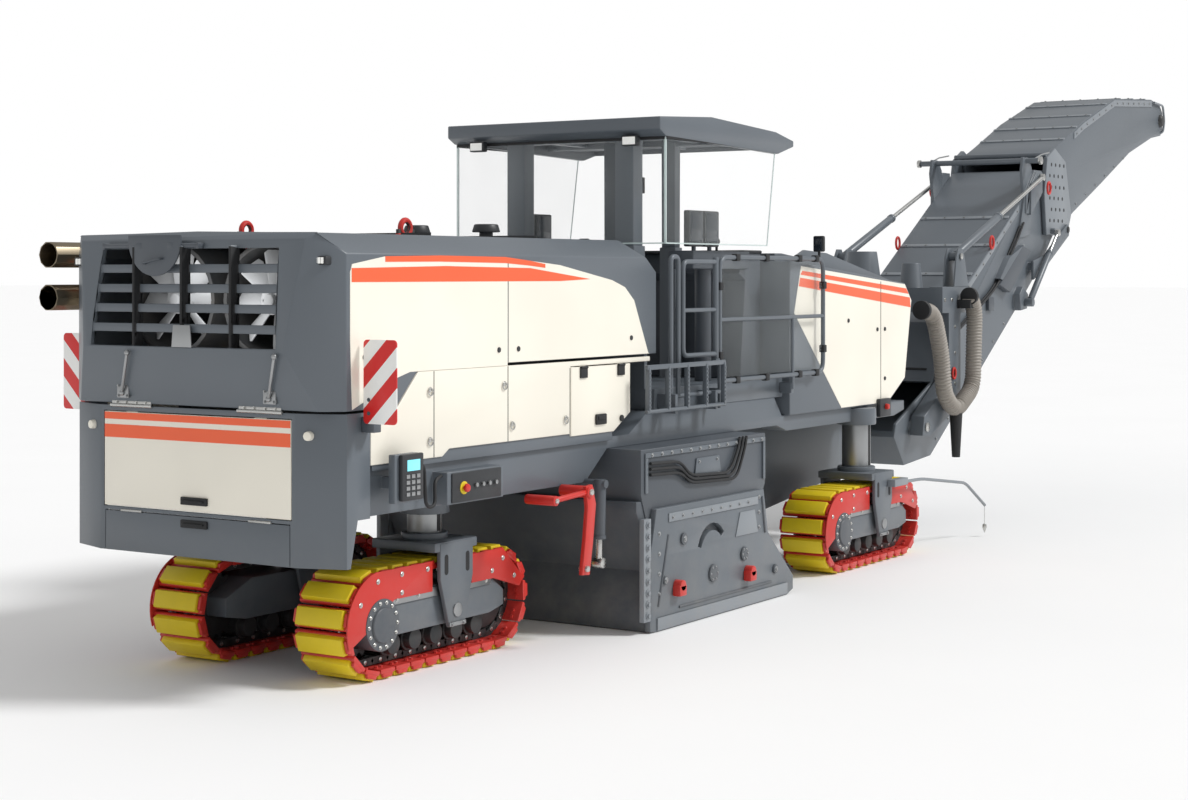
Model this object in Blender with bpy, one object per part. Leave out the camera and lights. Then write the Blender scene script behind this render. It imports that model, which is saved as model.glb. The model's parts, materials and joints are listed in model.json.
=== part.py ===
"""Cold planer milling machine on four tracks, with a folding discharge conveyor.

Metres, +X towards the discharge conveyor, +Y the machine's left, +Z up.
Stations along X are measured forward from the rear service door, and one
datum empty carries every piece so that the origin lies under the middle.
"""
import math

import bmesh
import bpy
from mathutils import Matrix, Vector

# ---------------------------------------------------------------- driving sizes
FIT = 0.0003            # gap between pieces that rest on one another
RUN = 0.012             # running gap round a turning or sliding piece
LIP = 0.006             # how far welded shapes reach into each other

BODY_HALF = 1.252       # half-width over the side panels
TIP_X = 20.05           # front of the discharge head
GRILLE_BACK = 0.148     # how far the grille stands behind the rear door

# tracks
SHOE_W = 0.478
TRACK_H = 0.79
TRACK_WHEEL_GAP = 1.44  # between the sprocket's and the idler's centres
SHOE_PITCH = 0.174
ROLLERS = 5
LOOP_STEPS = 8          # facets of the chain round each wheel
SHOE_T = 0.058
SHOE_WEB = 0.022        # the steel plate under each pad
CHAIN_W = 0.20
CHAIN_T = 0.066
REAR_TRACK = (1.61, 0.68)
FRONT_TRACK = (8.01, 1.17)
COLUMN_AHEAD = 0.10     # the lift column stands ahead of its track's middle
REAR_COLUMN_R = 0.130
FRONT_COLUMN_R = 0.142
REAR_COLUMN_TOP = 1.52
FRONT_COLUMN_TOP = 1.50
FORK_T = 0.036

# chassis
RAIL_OUT = 1.20
RAIL_IN = 0.96
DECK_Z = 1.90
RAIL_UNDER_Z = 1.46     # underside of the rails over the drum box
RAIL_TOP_Z = 1.72       # top of the rails under the platform
CROSS_TOP_Z = 1.54
RAIL_REAR_TOP_Z = 1.555

# rear shell, hood and panels
SKIRT_Z = 0.900
REAR_TOP_Z = 1.928
PANEL_T = 0.035
DOOR_HALF = 0.871
DOOR_Z0 = 1.216
DOOR_Z1 = 1.884
DOOR_T = 0.040
FLAP_HALF = 0.858
FLAP_TOP_Z = 1.180
PANEL_GAP = 0.006
HOOD_Z = 3.15
HOOD_SHOULDER_Z = 2.99
HOOD_FRONT_X = 4.10
HOOD_LOW_Z = 2.20
HOOD_REAR_LOW_Z = 1.945
HOOD_WALL = 0.045
HOOD_PIVOT = (3.98, 3.04)
GRILLE_LOW_Z = 2.348
GRILLE_TOP_Z = 3.03
GRILLE_HALF = 0.86
GRILLE_BARS = 5
FLAP_X = (2.820, 3.690)
PANEL_Z0 = 1.57
PANEL_Z1 = 2.135
PANEL_TOP_Z = 2.180

# cooling
FAN_X = 0.34
FAN_HALF = 0.06         # half-length of a fan's hub
COOLER_X = (0.80, 1.02)
FAN_RING = 0.20
RING_WALL = 0.045
FAN_BLADES = 8
LIFTING_EYE = (1.365, 3.19)
FAN_Y = 0.445
FAN_Z = 2.672
FAN_R = 0.36

# milling drum and its box
DRUM_X = 4.51
DRUM_Z = 0.63
DRUM_R = 0.57
DRUM_W = 2.20
BOX_RIGHT = -1.500      # outer face of the box's right wall
BOX_LEFT = 1.080        # outer face of the box's left wall
BOX_WALL = 0.045
BEARING = 0.05          # how far the drum's bearings stand in from the walls
HOLDER_ROWS = 12
EDGE_T = 0.055
EDGE_TRAVEL = 0.30
BACK_SLOPE = ((3.45, 1.10), (3.72, 0.42))   # rear face of the box, top and bottom
SCRAPER_T = 0.075

# operator's platform and canopy
PLATFORM_X = (4.16, 6.46)
RAIL_Y = 1.32
RAIL_TUBE = 0.021
STEP_Y = 1.395
STEP_BAR = 0.018
STEP_X = (3.705, 5.00)
STEP_Z = 1.74           # hinge line of the steps
STEP_DEEP = 0.36
STEP_RIBS = 5
CANOPY_X = (4.395, 6.86)
CANOPY_HALF = 1.113
CANOPY_Z = 4.185
CANOPY_T = 0.13
GLASS_T = 0.010
GLASS_LOW_Z = 3.12
CANOPY_DROP = 0.50
REAR_POST = (4.77, 0.573, 0.080, 0.095)
FRONT_POST = (5.93, 0.315, 0.050, 0.070)
POST_WALL = 0.014

# front bodywork
PICKUP_TOP_Z = 1.380    # top of the pick-up belt's casing
PICKUP_HALF = 0.50
HEAD_HALF = 0.40        # narrower where the hoses swing past the head
HEAD_X = 9.46
FRONT_X0 = 6.51
FRONT_X1 = 9.284
FRONT_LOW_Z = 1.545

# discharge conveyor
SLEW_X = 10.75
HUB_Z0 = 2.26
HUB_Z1 = 2.69
HUB_R = 0.19
HOSE_R = 0.075
PIN_R = 0.09
LIFT_X = 10.75
LIFT_Z = 1.15
ARM_Y = (0.625, 0.785)
BELT_HALF = 0.600
BRACKET_Y = (0.606, 0.655)   # perforated fold bracket
COVER_EDGE = (12.611, 2.883)
COVER_SLOPE = 30.6
FOLD_X = 15.62
FOLD_Z = 3.44
LIFT_EYE = (14.62, 4.09)
LIFT_BASE = (11.73, 3.06)
LIFT_CYL_Y = 0.705
FOLD_EYE = (15.07, 3.39)
FOLD_BASE = (14.05, 2.50)
FOLD_CYL_Y = 0.745
BOSS_HALF = 0.054       # half-length of a barrel's pin boss
EYE_HALF = 0.028
ROD_CLEAR = 0.001

DATUM_X = (TIP_X - GRILLE_BACK) / 2
SIDES = (("right", -1), ("left", 1))

PAINTS = {
    "grey_paint": ((0.128, 0.153, 0.175), 0.45, 0.0),
    "cream_paint": ((0.975, 0.94, 0.83), 0.35, 0.0),
    "dark_steel": ((0.05, 0.055, 0.06), 0.5, 0.6),
    "bright_steel": ((0.62, 0.62, 0.60), 0.25, 1.0),
    "yellow_pads": ((0.75, 0.60, 0.02), 0.55, 0.0),
    "clear_glass": ((0.85, 0.88, 0.88), 0.05, 0.0),
    "marker_sheet": ((0.9, 0.05, 0.03), 0.4, 0.0),
    "ribbed_hose": ((0.42, 0.38, 0.35), 0.6, 0.0),
}


# ---------------------------------------------------------------- modelling tools
def clear_scene():
    for obj in list(bpy.data.objects):
        bpy.data.objects.remove(obj, do_unlink=True)


def new_collection(name):
    group = bpy.data.collections.new(name)
    bpy.context.scene.collection.children.link(group)
    return group


def make_paints():
    paints = {}
    for name, (colour, roughness, metallic) in PAINTS.items():
        paint = bpy.data.materials.new(name)
        paint.use_nodes = True
        shader = paint.node_tree.nodes["Principled BSDF"]
        shader.inputs["Base Color"].default_value = (*colour, 1.0)
        shader.inputs["Roughness"].default_value = roughness
        shader.inputs["Metallic"].default_value = metallic
        paints[name] = paint
    return paints


clear_scene()
PARTS = new_collection("cold_planer")
CUTTERS = new_collection("cutters")
MATERIALS = make_paints()
DATUM = bpy.data.objects.new("machine_datum", None)
PARTS.objects.link(DATUM)
DATUM.location = (-DATUM_X, 0.0, 0.0)


def keep_in(obj, group):
    for owner in list(obj.users_collection):
        owner.objects.unlink(obj)
    group.objects.link(obj)


def mesh_object(name, bm):
    """A shape among the cutters, until it becomes a piece of its own."""
    mesh = bpy.data.meshes.new(name)
    bm.to_mesh(mesh)
    bm.free()
    obj = bpy.data.objects.new(name, mesh)
    CUTTERS.objects.link(obj)
    obj.hide_render = True
    obj.display_type = "WIRE"
    obj.parent = DATUM
    return obj


def box(x, y, z, name="block"):
    """A block between two stations on each axis, each given as a pair."""
    bm = bmesh.new()
    bmesh.ops.create_cube(bm, size=1.0)
    size = [abs(pair[1] - pair[0]) for pair in (x, y, z)]
    middle = [(pair[0] + pair[1]) / 2 for pair in (x, y, z)]
    bmesh.ops.scale(bm, vec=size, verts=bm.verts)
    bmesh.ops.translate(bm, vec=middle, verts=bm.verts)
    return mesh_object(name, bm)


def turn_to(axis):
    """The rotation that lays a cylinder's own Z along an axis."""
    return Vector((0, 0, 1)).rotation_difference(Vector(axis)).to_matrix().to_4x4()


def rod(start, end, radius, end_radius=None, sides=16, name="rod"):
    """A round bar, or a cone where the end's radius differs."""
    start, end = Vector(start), Vector(end)
    bm = bmesh.new()
    far = radius if end_radius is None else end_radius
    bmesh.ops.create_cone(bm, cap_ends=True, segments=sides, radius1=radius, radius2=far,
                          depth=(end - start).length)
    bmesh.ops.transform(bm, matrix=turn_to(end - start), verts=bm.verts)
    bmesh.ops.translate(bm, vec=(start + end) / 2, verts=bm.verts)
    return mesh_object(name, bm)


def outline(points, low, high, plane="xz", hole=None, name="outline"):
    """A flat outline, with a hole if one is given, thick between two stations."""
    data = bpy.data.curves.new(name, "CURVE")
    data.dimensions = "2D"
    data.fill_mode = "BOTH"
    data.extrude = abs(high - low) / 2
    for ring in (points, hole):
        if ring:
            spline = data.splines.new("POLY")
            spline.points.add(len(ring) - 1)
            for point, (u, v) in zip(spline.points, ring):
                point.co = (u, v, 0.0, 1.0)
            spline.use_cyclic_u = True
    curve = bpy.data.objects.new(name, data)
    PARTS.objects.link(curve)
    bm = curve_mesh(curve)
    frames = {
        "xz": Matrix(((1, 0, 0, 0), (0, 0, -1, 0), (0, 1, 0, 0), (0, 0, 0, 1))),
        "yz": Matrix(((0, 0, 1, 0), (1, 0, 0, 0), (0, 1, 0, 0), (0, 0, 0, 1))),
        "xy": Matrix.Identity(4),
    }
    lift = {"xz": (0, 1, 0), "yz": (1, 0, 0), "xy": (0, 0, 1)}[plane]
    bmesh.ops.transform(bm, matrix=frames[plane], verts=bm.verts)
    bmesh.ops.translate(bm, vec=Vector(lift) * ((low + high) / 2), verts=bm.verts)
    return mesh_object(name, bm)


def curve_mesh(curve):
    """The curve's evaluated surface with its caps welded; the curve is removed."""
    bpy.context.view_layer.update()
    settled = curve.evaluated_get(bpy.context.evaluated_depsgraph_get())
    mesh = bpy.data.meshes.new_from_object(settled)
    bm = bmesh.new()
    bm.from_mesh(mesh)
    bmesh.ops.remove_doubles(bm, verts=bm.verts, dist=0.00005)
    bmesh.ops.recalc_face_normals(bm, faces=bm.faces)
    bpy.data.meshes.remove(mesh)
    bpy.data.objects.remove(curve, do_unlink=True)
    return bm


def tube(points, radius, closed=False, rounds=2, name="tube"):
    """A bent bar through the points."""
    data = bpy.data.curves.new(name, "CURVE")
    data.dimensions = "3D"
    data.bevel_depth = radius
    data.bevel_resolution = rounds
    data.use_fill_caps = not closed
    spline = data.splines.new("POLY")
    spline.points.add(len(points) - 1)
    for point, place in zip(spline.points, points):
        point.co = (*place, 1.0)
    spline.use_cyclic_u = closed
    curve = bpy.data.objects.new(name, data)
    PARTS.objects.link(curve)
    return mesh_object(name, curve_mesh(curve))


def rounded(corners, radius, steps=2):
    """A 3-D path whose inner corners are replaced by short arcs."""
    path = [Vector(corners[0])]
    for before, here, after in zip(corners, corners[1:], corners[2:]):
        before, here, after = Vector(before), Vector(here), Vector(after)
        enter = here + (before - here).normalized() * radius
        leave = here + (after - here).normalized() * radius
        for step in range(steps + 1):
            t = step / steps
            path.append(enter.lerp(here, t).lerp(here.lerp(leave, t), t))
    path.append(Vector(corners[-1]))
    return path


def slice_off(obj, point, normal):
    """Removes what lies beyond a plane and closes the cut."""
    bm = bmesh.new()
    bm.from_mesh(obj.data)
    cut = bmesh.ops.bisect_plane(bm, geom=bm.verts[:] + bm.edges[:] + bm.faces[:],
                                 plane_co=point, plane_no=normal, clear_outer=True)
    rim = [item for item in cut["geom_cut"] if isinstance(item, bmesh.types.BMEdge)]
    if rim:
        bmesh.ops.contextual_create(bm, geom=rim)
    bmesh.ops.recalc_face_normals(bm, faces=bm.faces)
    bm.to_mesh(obj.data)
    bm.free()
    return obj


def boolean(obj, tool, operation, solver="EXACT"):
    modifier = obj.modifiers.new(operation.lower(), "BOOLEAN")
    modifier.operation = operation
    modifier.solver = solver
    modifier.object = tool
    return obj


def weld(obj, *tools, solver="EXACT"):
    for tool in tools:
        boolean(obj, tool, "UNION", solver)
    return obj


def cut(obj, *tools, solver="EXACT"):
    for tool in tools:
        boolean(obj, tool, "DIFFERENCE", solver)
    return obj


def part(obj, name, paint, pivot=(0.0, 0.0, 0.0)):
    """Makes a shape one of the machine's pieces, with its origin on its pivot."""
    keep_in(obj, PARTS)
    obj.hide_render = False
    obj.display_type = "TEXTURED"
    obj.name = name
    obj.data.name = name
    obj.data.transform(Matrix.Translation(-Vector(pivot)))
    obj.location = pivot
    obj.data.materials.clear()
    obj.data.materials.append(MATERIALS[paint])
    return obj


def arc(centre, radius, start, end, steps):
    """Points along an arc, with the angles in degrees."""
    turn = [math.radians(start + (end - start) * i / steps) for i in range(steps + 1)]
    return [(centre[0] + radius * math.cos(a), centre[1] + radius * math.sin(a)) for a in turn]


# ---------------------------------------------------------------- tracks
def loop_point(distance, offset):
    """A point on the track's loop line, moved outwards by an offset."""
    half = TRACK_WHEEL_GAP / 2
    radius = TRACK_H / 2 - SHOE_T
    bend = math.pi * radius
    distance %= 2 * (TRACK_WHEEL_GAP + bend)
    reach = radius + offset
    if distance < TRACK_WHEEL_GAP:
        return (distance - half, TRACK_H / 2 - reach)
    distance -= TRACK_WHEEL_GAP
    if distance < bend:
        angle = distance / radius - math.pi / 2
        return (half + reach * math.cos(angle), TRACK_H / 2 + reach * math.sin(angle))
    distance -= bend
    if distance < TRACK_WHEEL_GAP:
        return (half - distance, TRACK_H / 2 + reach)
    angle = (distance - TRACK_WHEEL_GAP) / radius + math.pi / 2
    return (-half + reach * math.cos(angle), TRACK_H / 2 + reach * math.sin(angle))


def stadium(radius, steps=LOOP_STEPS):
    """The chain's run round both wheels at a radius from their centres."""
    half = TRACK_WHEEL_GAP / 2
    return (arc((half, TRACK_H / 2), radius, -90, 90, steps)
            + arc((-half, TRACK_H / 2), radius, 90, 270, steps))


def shifted(points, dx):
    return [(x + dx, z) for x, z in points]


def track_belt(centre_x, centre_y, pivot, name):
    """One loop: shoes over the full width on a narrower chain."""
    line = TRACK_H / 2 - SHOE_T
    around = 2 * (TRACK_WHEEL_GAP + math.pi * line)
    count = round(around / SHOE_PITCH)
    pitch = around / count
    teeth = []
    for i in range(count):
        begin = i * pitch + 0.07 * pitch
        end = (i + 1) * pitch - 0.07 * pitch
        teeth += [loop_point(begin, 0.0), loop_point(begin, SHOE_T),
                  loop_point(end, SHOE_T), loop_point(end, 0.0)]
    half = SHOE_W / 2
    belt = outline(shifted(teeth, centre_x), centre_y - half, centre_y + half,
                   hole=shifted(stadium(line - SHOE_WEB), centre_x))
    chain = outline(shifted(stadium(line - SHOE_WEB + LIP), centre_x),
                    centre_y - CHAIN_W / 2, centre_y + CHAIN_W / 2,
                    hole=shifted(stadium(line - SHOE_WEB - CHAIN_T), centre_x))
    weld(belt, chain, solver="MANIFOLD")
    return part(belt, name, "yellow_pads", pivot)


def track_frame(centre_x, centre_y, pivot, column_r, column_top, name):
    """Side frame, wheels, rollers, fork and lift column as one welded piece."""
    outward = 1 if centre_y > 0 else -1
    mid = TRACK_H / 2
    half_gap = TRACK_WHEEL_GAP / 2
    inner = TRACK_H / 2 - SHOE_T - SHOE_WEB - CHAIN_T
    side = SHOE_W / 2 - 0.004
    frame = outline([(centre_x + x, z) for x, z in (
        (-half_gap - 0.10, mid - 0.06), (-half_gap + 0.12, mid - 0.10), (half_gap - 0.12, mid - 0.10),
        (half_gap + 0.06, mid - 0.06), (half_gap + 0.06, mid + 0.06), (half_gap - 0.15, mid + 0.20),
        (-half_gap + 0.18, mid + 0.20), (-half_gap - 0.10, mid + 0.08))],
        centre_y - side, centre_y + side)
    pieces = []
    for end in (-1, 1):
        wheel_x = centre_x + end * half_gap
        pieces.append(rod((wheel_x, centre_y - CHAIN_W / 2, mid), (wheel_x, centre_y + CHAIN_W / 2, mid),
                          inner * math.cos(math.pi / (2 * LOOP_STEPS)) - FIT, sides=24))
    drive_x = centre_x - half_gap
    pieces.append(rod((drive_x, centre_y, mid), (drive_x, centre_y + outward * (side + 0.03), mid), 0.19))
    roller_r = 0.075
    roller_z = mid - inner + FIT + roller_r
    for i in range(ROLLERS):
        x = centre_x + (i - (ROLLERS - 1) / 2) * 0.25
        pieces.append(rod((x, centre_y - side + 0.05, roller_z), (x, centre_y + side - 0.05, roller_z),
                          roller_r, sides=12))
    column_x = pivot[0]
    fork_y = SHOE_W / 2 + 0.024
    fork_z = TRACK_H + 0.045
    for face in (-1, 1):
        low, high = sorted((centre_y + face * fork_y, centre_y + face * (fork_y + FORK_T)))
        pieces.append(outline([(column_x - 0.20, fork_z + 0.06), (column_x - 0.20, mid + 0.24),
                               (column_x - 0.09, mid - 0.12), (column_x + 0.09, mid - 0.12),
                               (column_x + 0.20, mid + 0.24), (column_x + 0.20, fork_z + 0.06)], low, high))
    reach = fork_y + FORK_T - LIP
    pieces.append(box((column_x - 0.26, column_x + 0.26), (centre_y - reach, centre_y + reach),
                      (fork_z, fork_z + 0.07)))
    pieces.append(rod((column_x, centre_y - reach, mid), (column_x, centre_y + reach, mid), 0.055))
    pieces.append(rod((column_x, centre_y, fork_z + 0.07 - LIP), (column_x, centre_y, column_top),
                      column_r, sides=24))
    guard_low, guard_high = sorted((centre_y + outward * (SHOE_W / 2 + 0.006),
                                    centre_y + outward * (SHOE_W / 2 + 0.018)))
    rear = (arc((centre_x - half_gap, mid), mid - 0.012, 200, 100, 6)
            + [(column_x - 0.24, TRACK_H - 0.015), (column_x - 0.24, mid + 0.16),
               (centre_x - half_gap + 0.14, mid + 0.16), (centre_x - half_gap - 0.16, mid - 0.03)])
    front = [(column_x + 0.24, mid + 0.16), (column_x + 0.24, TRACK_H - 0.02),
             (centre_x + half_gap + 0.02, TRACK_H - 0.015), (centre_x + half_gap + 0.30, mid + 0.12),
             (centre_x + half_gap + 0.24, mid + 0.06), (centre_x + half_gap - 0.10, mid + 0.16)]
    for shape in (rear, front):
        pieces.append(outline(shape, guard_low, guard_high))
    strip_low, strip_high = sorted((centre_y + outward * (side - 0.02),
                                    centre_y + outward * (SHOE_W / 2 + 0.010)))
    pieces.append(box((centre_x - half_gap + 0.10, centre_x + half_gap - 0.12), (strip_low, strip_high),
                      (mid + 0.12, mid + 0.19)))
    weld(frame, *pieces)
    return part(frame, name, "grey_paint", pivot)


def tracks():
    """Four track units, each on its own lift column."""
    for side, sign in SIDES:
        for axle, (x, y), radius, top in (("rear", REAR_TRACK, REAR_COLUMN_R, REAR_COLUMN_TOP),
                                          ("front", FRONT_TRACK, FRONT_COLUMN_R, FRONT_COLUMN_TOP)):
            pivot = (x + COLUMN_AHEAD, sign * y, TRACK_H)
            track_belt(x, sign * y, pivot, f"track_belt_{axle}_{side}")
            track_frame(x, sign * y, pivot, radius, top, f"track_frame_{axle}_{side}")


def track_pointer():
    """Sighting rod with a plumb bob, bracketed to the front right fork."""
    x, y = FRONT_TRACK
    pivot = (x + COLUMN_AHEAD, -y, TRACK_H)
    fork_face = -y - (SHOE_W / 2 + 0.024 + FORK_T)
    rod_y = fork_face - 0.055
    bracket = box((pivot[0] + 0.08, pivot[0] + 0.40), (rod_y - 0.03, fork_face - FIT),
                  (TRACK_H - 0.04, TRACK_H + 0.03))
    bar = tube(rounded([(pivot[0] + 0.30, rod_y, TRACK_H - 0.01), (pivot[0] + 0.80, rod_y, TRACK_H - 0.02),
                        (pivot[0] + 1.95, rod_y, TRACK_H - 0.16), (pivot[0] + 2.50, rod_y, 0.34)], 0.06),
               0.016)
    string = rod((pivot[0] + 2.495, rod_y, 0.36), (pivot[0] + 2.495, rod_y, 0.13), 0.007, sides=8)
    bob = rod((pivot[0] + 2.495, rod_y, 0.14), (pivot[0] + 2.495, rod_y, 0.04), 0.026, 0.004, sides=12)
    weld(bracket, bar, string, bob)
    part(bracket, "track_pointer", "dark_steel", pivot)


# ---------------------------------------------------------------- chassis
def chassis():
    """Rails, cross members, column sleeves and the carrier of the swivel."""
    frame = box((0.44, 0.56), (-RAIL_OUT + LIP, RAIL_OUT - LIP), (1.24, 1.50))
    pieces = []
    for _, sign in SIDES:
        low, high = sorted((sign * RAIL_IN, sign * RAIL_OUT))
        pieces.append(outline([(0.30, 1.22), (3.10, 1.22), (3.42, RAIL_UNDER_Z), (6.35, RAIL_UNDER_Z),
                               (6.55, 1.40), (8.95, 1.40), (9.20, 1.45), (9.20, FRONT_LOW_Z - FIT),
                               (6.45, FRONT_LOW_Z - FIT), (6.30, RAIL_TOP_Z), (4.05, RAIL_TOP_Z),
                               (3.75, RAIL_REAR_TOP_Z), (0.30, RAIL_REAR_TOP_Z)], low, high))
        pad = sorted((sign * (RAIL_OUT - 0.10), sign * (BODY_HALF - PANEL_T - FIT)))
        pieces.append(box((0.24, 0.34), pad, (1.26, 1.50)))
        rear_x, rear_y = REAR_TRACK[0] + COLUMN_AHEAD, sign * REAR_TRACK[1]
        pieces.append(rod((rear_x, rear_y, 1.09), (rear_x, rear_y, REAR_COLUMN_TOP + 0.05),
                          REAR_COLUMN_R + 0.055, sides=24))
        front_x, front_y = FRONT_TRACK[0] + COLUMN_AHEAD, sign * FRONT_TRACK[1]
        pieces.append(rod((front_x, front_y, 1.365), (front_x, front_y, 1.53),
                          FRONT_COLUMN_R + 0.055, sides=24))
        pieces.append(box((1.12, 1.80), sorted((sign * (RAIL_OUT - LIP), sign * 1.33)), (1.235, 1.465)))
        pieces.append(box((0.46, 0.72), sorted((sign * 1.33, sign * 1.385)), (1.31, 1.64)))
        pieces.append(box((0.54, 0.62), sorted((sign * (RAIL_OUT - LIP), sign * (1.33 + LIP))), (1.40, 1.48)))
        post_y = sorted((sign * 0.56, sign * 0.70))
        pieces.append(box((9.00, 9.45), post_y, (1.42, 1.52)))
        pieces.append(box((9.305, 9.45), post_y, (1.42, 2.30)))
        pieces.append(box((8.85, 9.10), sorted((sign * 0.56, sign * (RAIL_IN + LIP))), (1.41, 1.52)))
    rear_x = REAR_TRACK[0] + COLUMN_AHEAD
    front_x = FRONT_TRACK[0] + COLUMN_AHEAD
    pieces.append(box((rear_x - 0.15, rear_x + 0.15), (-RAIL_OUT + LIP, RAIL_OUT - LIP),
                      (1.24, CROSS_TOP_Z)))
    pieces.append(box((3.00, 3.14), (-RAIL_OUT + LIP, RAIL_OUT - LIP), (1.24, CROSS_TOP_Z)))
    pieces.append(box((0.83, 0.99), (-RAIL_OUT + LIP, RAIL_OUT - LIP), (1.28, CROSS_TOP_Z)))
    pieces.append(box((6.10, 6.28), (-RAIL_OUT + LIP, RAIL_OUT - LIP), (1.48, 1.70)))
    pieces.append(box((front_x - 0.15, front_x + 0.15), (-RAIL_OUT + LIP, RAIL_OUT - LIP),
                      (PICKUP_TOP_Z + FIT, 1.525)))
    pieces.append(box((9.305, 9.45), (-0.70 + LIP, 0.70 - LIP), (2.18, 2.30)))
    pieces.append(box((9.305, 9.45), (-0.26, 0.26), (2.18, 2.78)))
    for low, high in ((HUB_Z0 - 0.075, HUB_Z0 - 0.006), (HUB_Z1 + 0.006, HUB_Z1 + 0.075)):
        pieces.append(outline([(9.40, -0.24), (SLEW_X, -0.15)] + arc((SLEW_X, 0.0), 0.15, -80, 80, 8)
                              + [(SLEW_X, 0.15), (9.40, 0.24)], low, high, "xy"))
    pieces.append(rod((SLEW_X, 0, HUB_Z0 - 0.05), (SLEW_X, 0, HUB_Z1 + 0.05), PIN_R, sides=24))
    pieces.append(rod((SLEW_X, 0, HUB_Z1 + 0.07), (SLEW_X, 0, HUB_Z1 + 0.42), 0.215, 0.165, sides=24))
    weld(frame, *pieces, solver="MANIFOLD")
    bores = []
    for _, sign in SIDES:
        for (x, y), radius, top in ((REAR_TRACK, REAR_COLUMN_R, REAR_COLUMN_TOP + FIT),
                                    (FRONT_TRACK, FRONT_COLUMN_R, FRONT_COLUMN_TOP + FIT)):
            bores.append(rod((x + COLUMN_AHEAD, sign * y, 1.0), (x + COLUMN_AHEAD, sign * y, top),
                             radius + 0.004, sides=24))
    cut(frame, *bores, solver="MANIFOLD")
    part(frame, "chassis", "grey_paint")


def engine_block():
    """Plain block in place of the engine and its pumps."""
    block = box((1.75, 3.55), (-0.47, 0.47), (CROSS_TOP_Z + FIT, 2.66))
    part(block, "engine_block", "dark_steel")


# ---------------------------------------------------------------- rear end
def rear_shell():
    """Lower rear corners and frame of the service door."""
    def plan(inset):
        w = BODY_HALF - inset
        return [(0.365, -w), (0.120 + inset * 0.5, -w), (inset, -0.915 + inset * 0.4),
                (inset, 0.915 - inset * 0.4), (0.120 + inset * 0.5, w), (0.365, w)]

    shell = outline(plan(0.0), SKIRT_Z, REAR_TOP_Z, "xy")
    inner = plan(PANEL_T)
    inner = [(0.50, inner[0][1])] + inner[1:-1] + [(0.50, inner[-1][1])]
    hollow = outline(inner, SKIRT_Z - 0.1, REAR_TOP_Z + 0.1, "xy")
    cut(shell, hollow)
    wide = BODY_HALF + 0.1
    cut(shell, outline([(0.150, SKIRT_Z - 0.05), (0.60, SKIRT_Z - 0.05), (0.60, 1.215), (0.235, 1.215)],
                       -wide, wide))
    cut(shell, box((-0.1, 0.10), (-DOOR_HALF - PANEL_GAP, DOOR_HALF + PANEL_GAP),
                   (DOOR_Z0 - PANEL_GAP, DOOR_Z1 + PANEL_GAP)))
    cut(shell, box((-0.1, 0.10), (-FLAP_HALF - PANEL_GAP, FLAP_HALF + PANEL_GAP),
                   (SKIRT_Z - 0.05, FLAP_TOP_Z + PANEL_GAP)))
    part(shell, "rear_shell", "grey_paint")


def rear_doors():
    """Upper service door and lower flap, each hung by two tabs at its top."""
    for name, paint, half, low, high in (("rear_door", "cream_paint", DOOR_HALF, DOOR_Z0, DOOR_Z1),
                                         ("rear_flap", "grey_paint", FLAP_HALF, SKIRT_Z, FLAP_TOP_Z)):
        leaf = box((0.0, DOOR_T), (-half, half), (low, high))
        weld(leaf, *[box((0.005, DOOR_T - 0.005), (y - 0.05, y + 0.05), (high - LIP, high + PANEL_GAP - FIT))
                     for y in (-0.60, 0.60)])
        part(leaf, name, paint, (0.0, 0.0, high))


def cooler_pack():
    """Radiator block with two fan rings, and the posts of the lifting eyes."""
    half = 0.93
    low_z = 1.70
    face = COOLER_X[0]
    block = box(COOLER_X, (-half, half), (low_z, 3.02))

    def axial(sign, start, end, radius, sides=28):
        return rod((start, sign * FAN_Y, FAN_Z), (end, sign * FAN_Y, FAN_Z), radius, sides=sides)

    weld(block, *[axial(sign, FAN_X - FAN_RING / 2, face + LIP, FAN_R + RING_WALL) for _, sign in SIDES])
    cut(block, *[axial(sign, FAN_X - FAN_RING, face, FAN_R + RUN) for _, sign in SIDES])
    pieces = []
    eye_x, eye_z = LIFTING_EYE
    for _, sign in SIDES:
        pieces.append(axial(sign, FAN_X + FAN_HALF, face + LIP, 0.05, sides=16))
        pieces.append(box((0.84, 0.98), sorted((sign * 0.70, sign * 0.90)), (CROSS_TOP_Z + FIT, low_z + LIP)))
        pieces.append(box((0.98, eye_x + 0.095), sorted((sign * 0.745, sign * 0.79)), (2.86, 2.94)))
        pieces.append(box((eye_x - 0.095, eye_x + 0.095), sorted((sign * 0.755, sign * 0.781)),
                          (2.88, eye_z - 0.01)))
        pieces.append(rod((eye_x, sign * 0.755, eye_z - 0.02), (eye_x, sign * 0.781, eye_z - 0.02),
                          0.075, sides=24))
    weld(block, *pieces)
    cut(block, *[rod((eye_x, sign * 0.70, eye_z), (eye_x, sign * 0.84, eye_z), 0.036, sides=20)
                 for _, sign in SIDES])
    part(block, "cooler_pack", "dark_steel")


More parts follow.
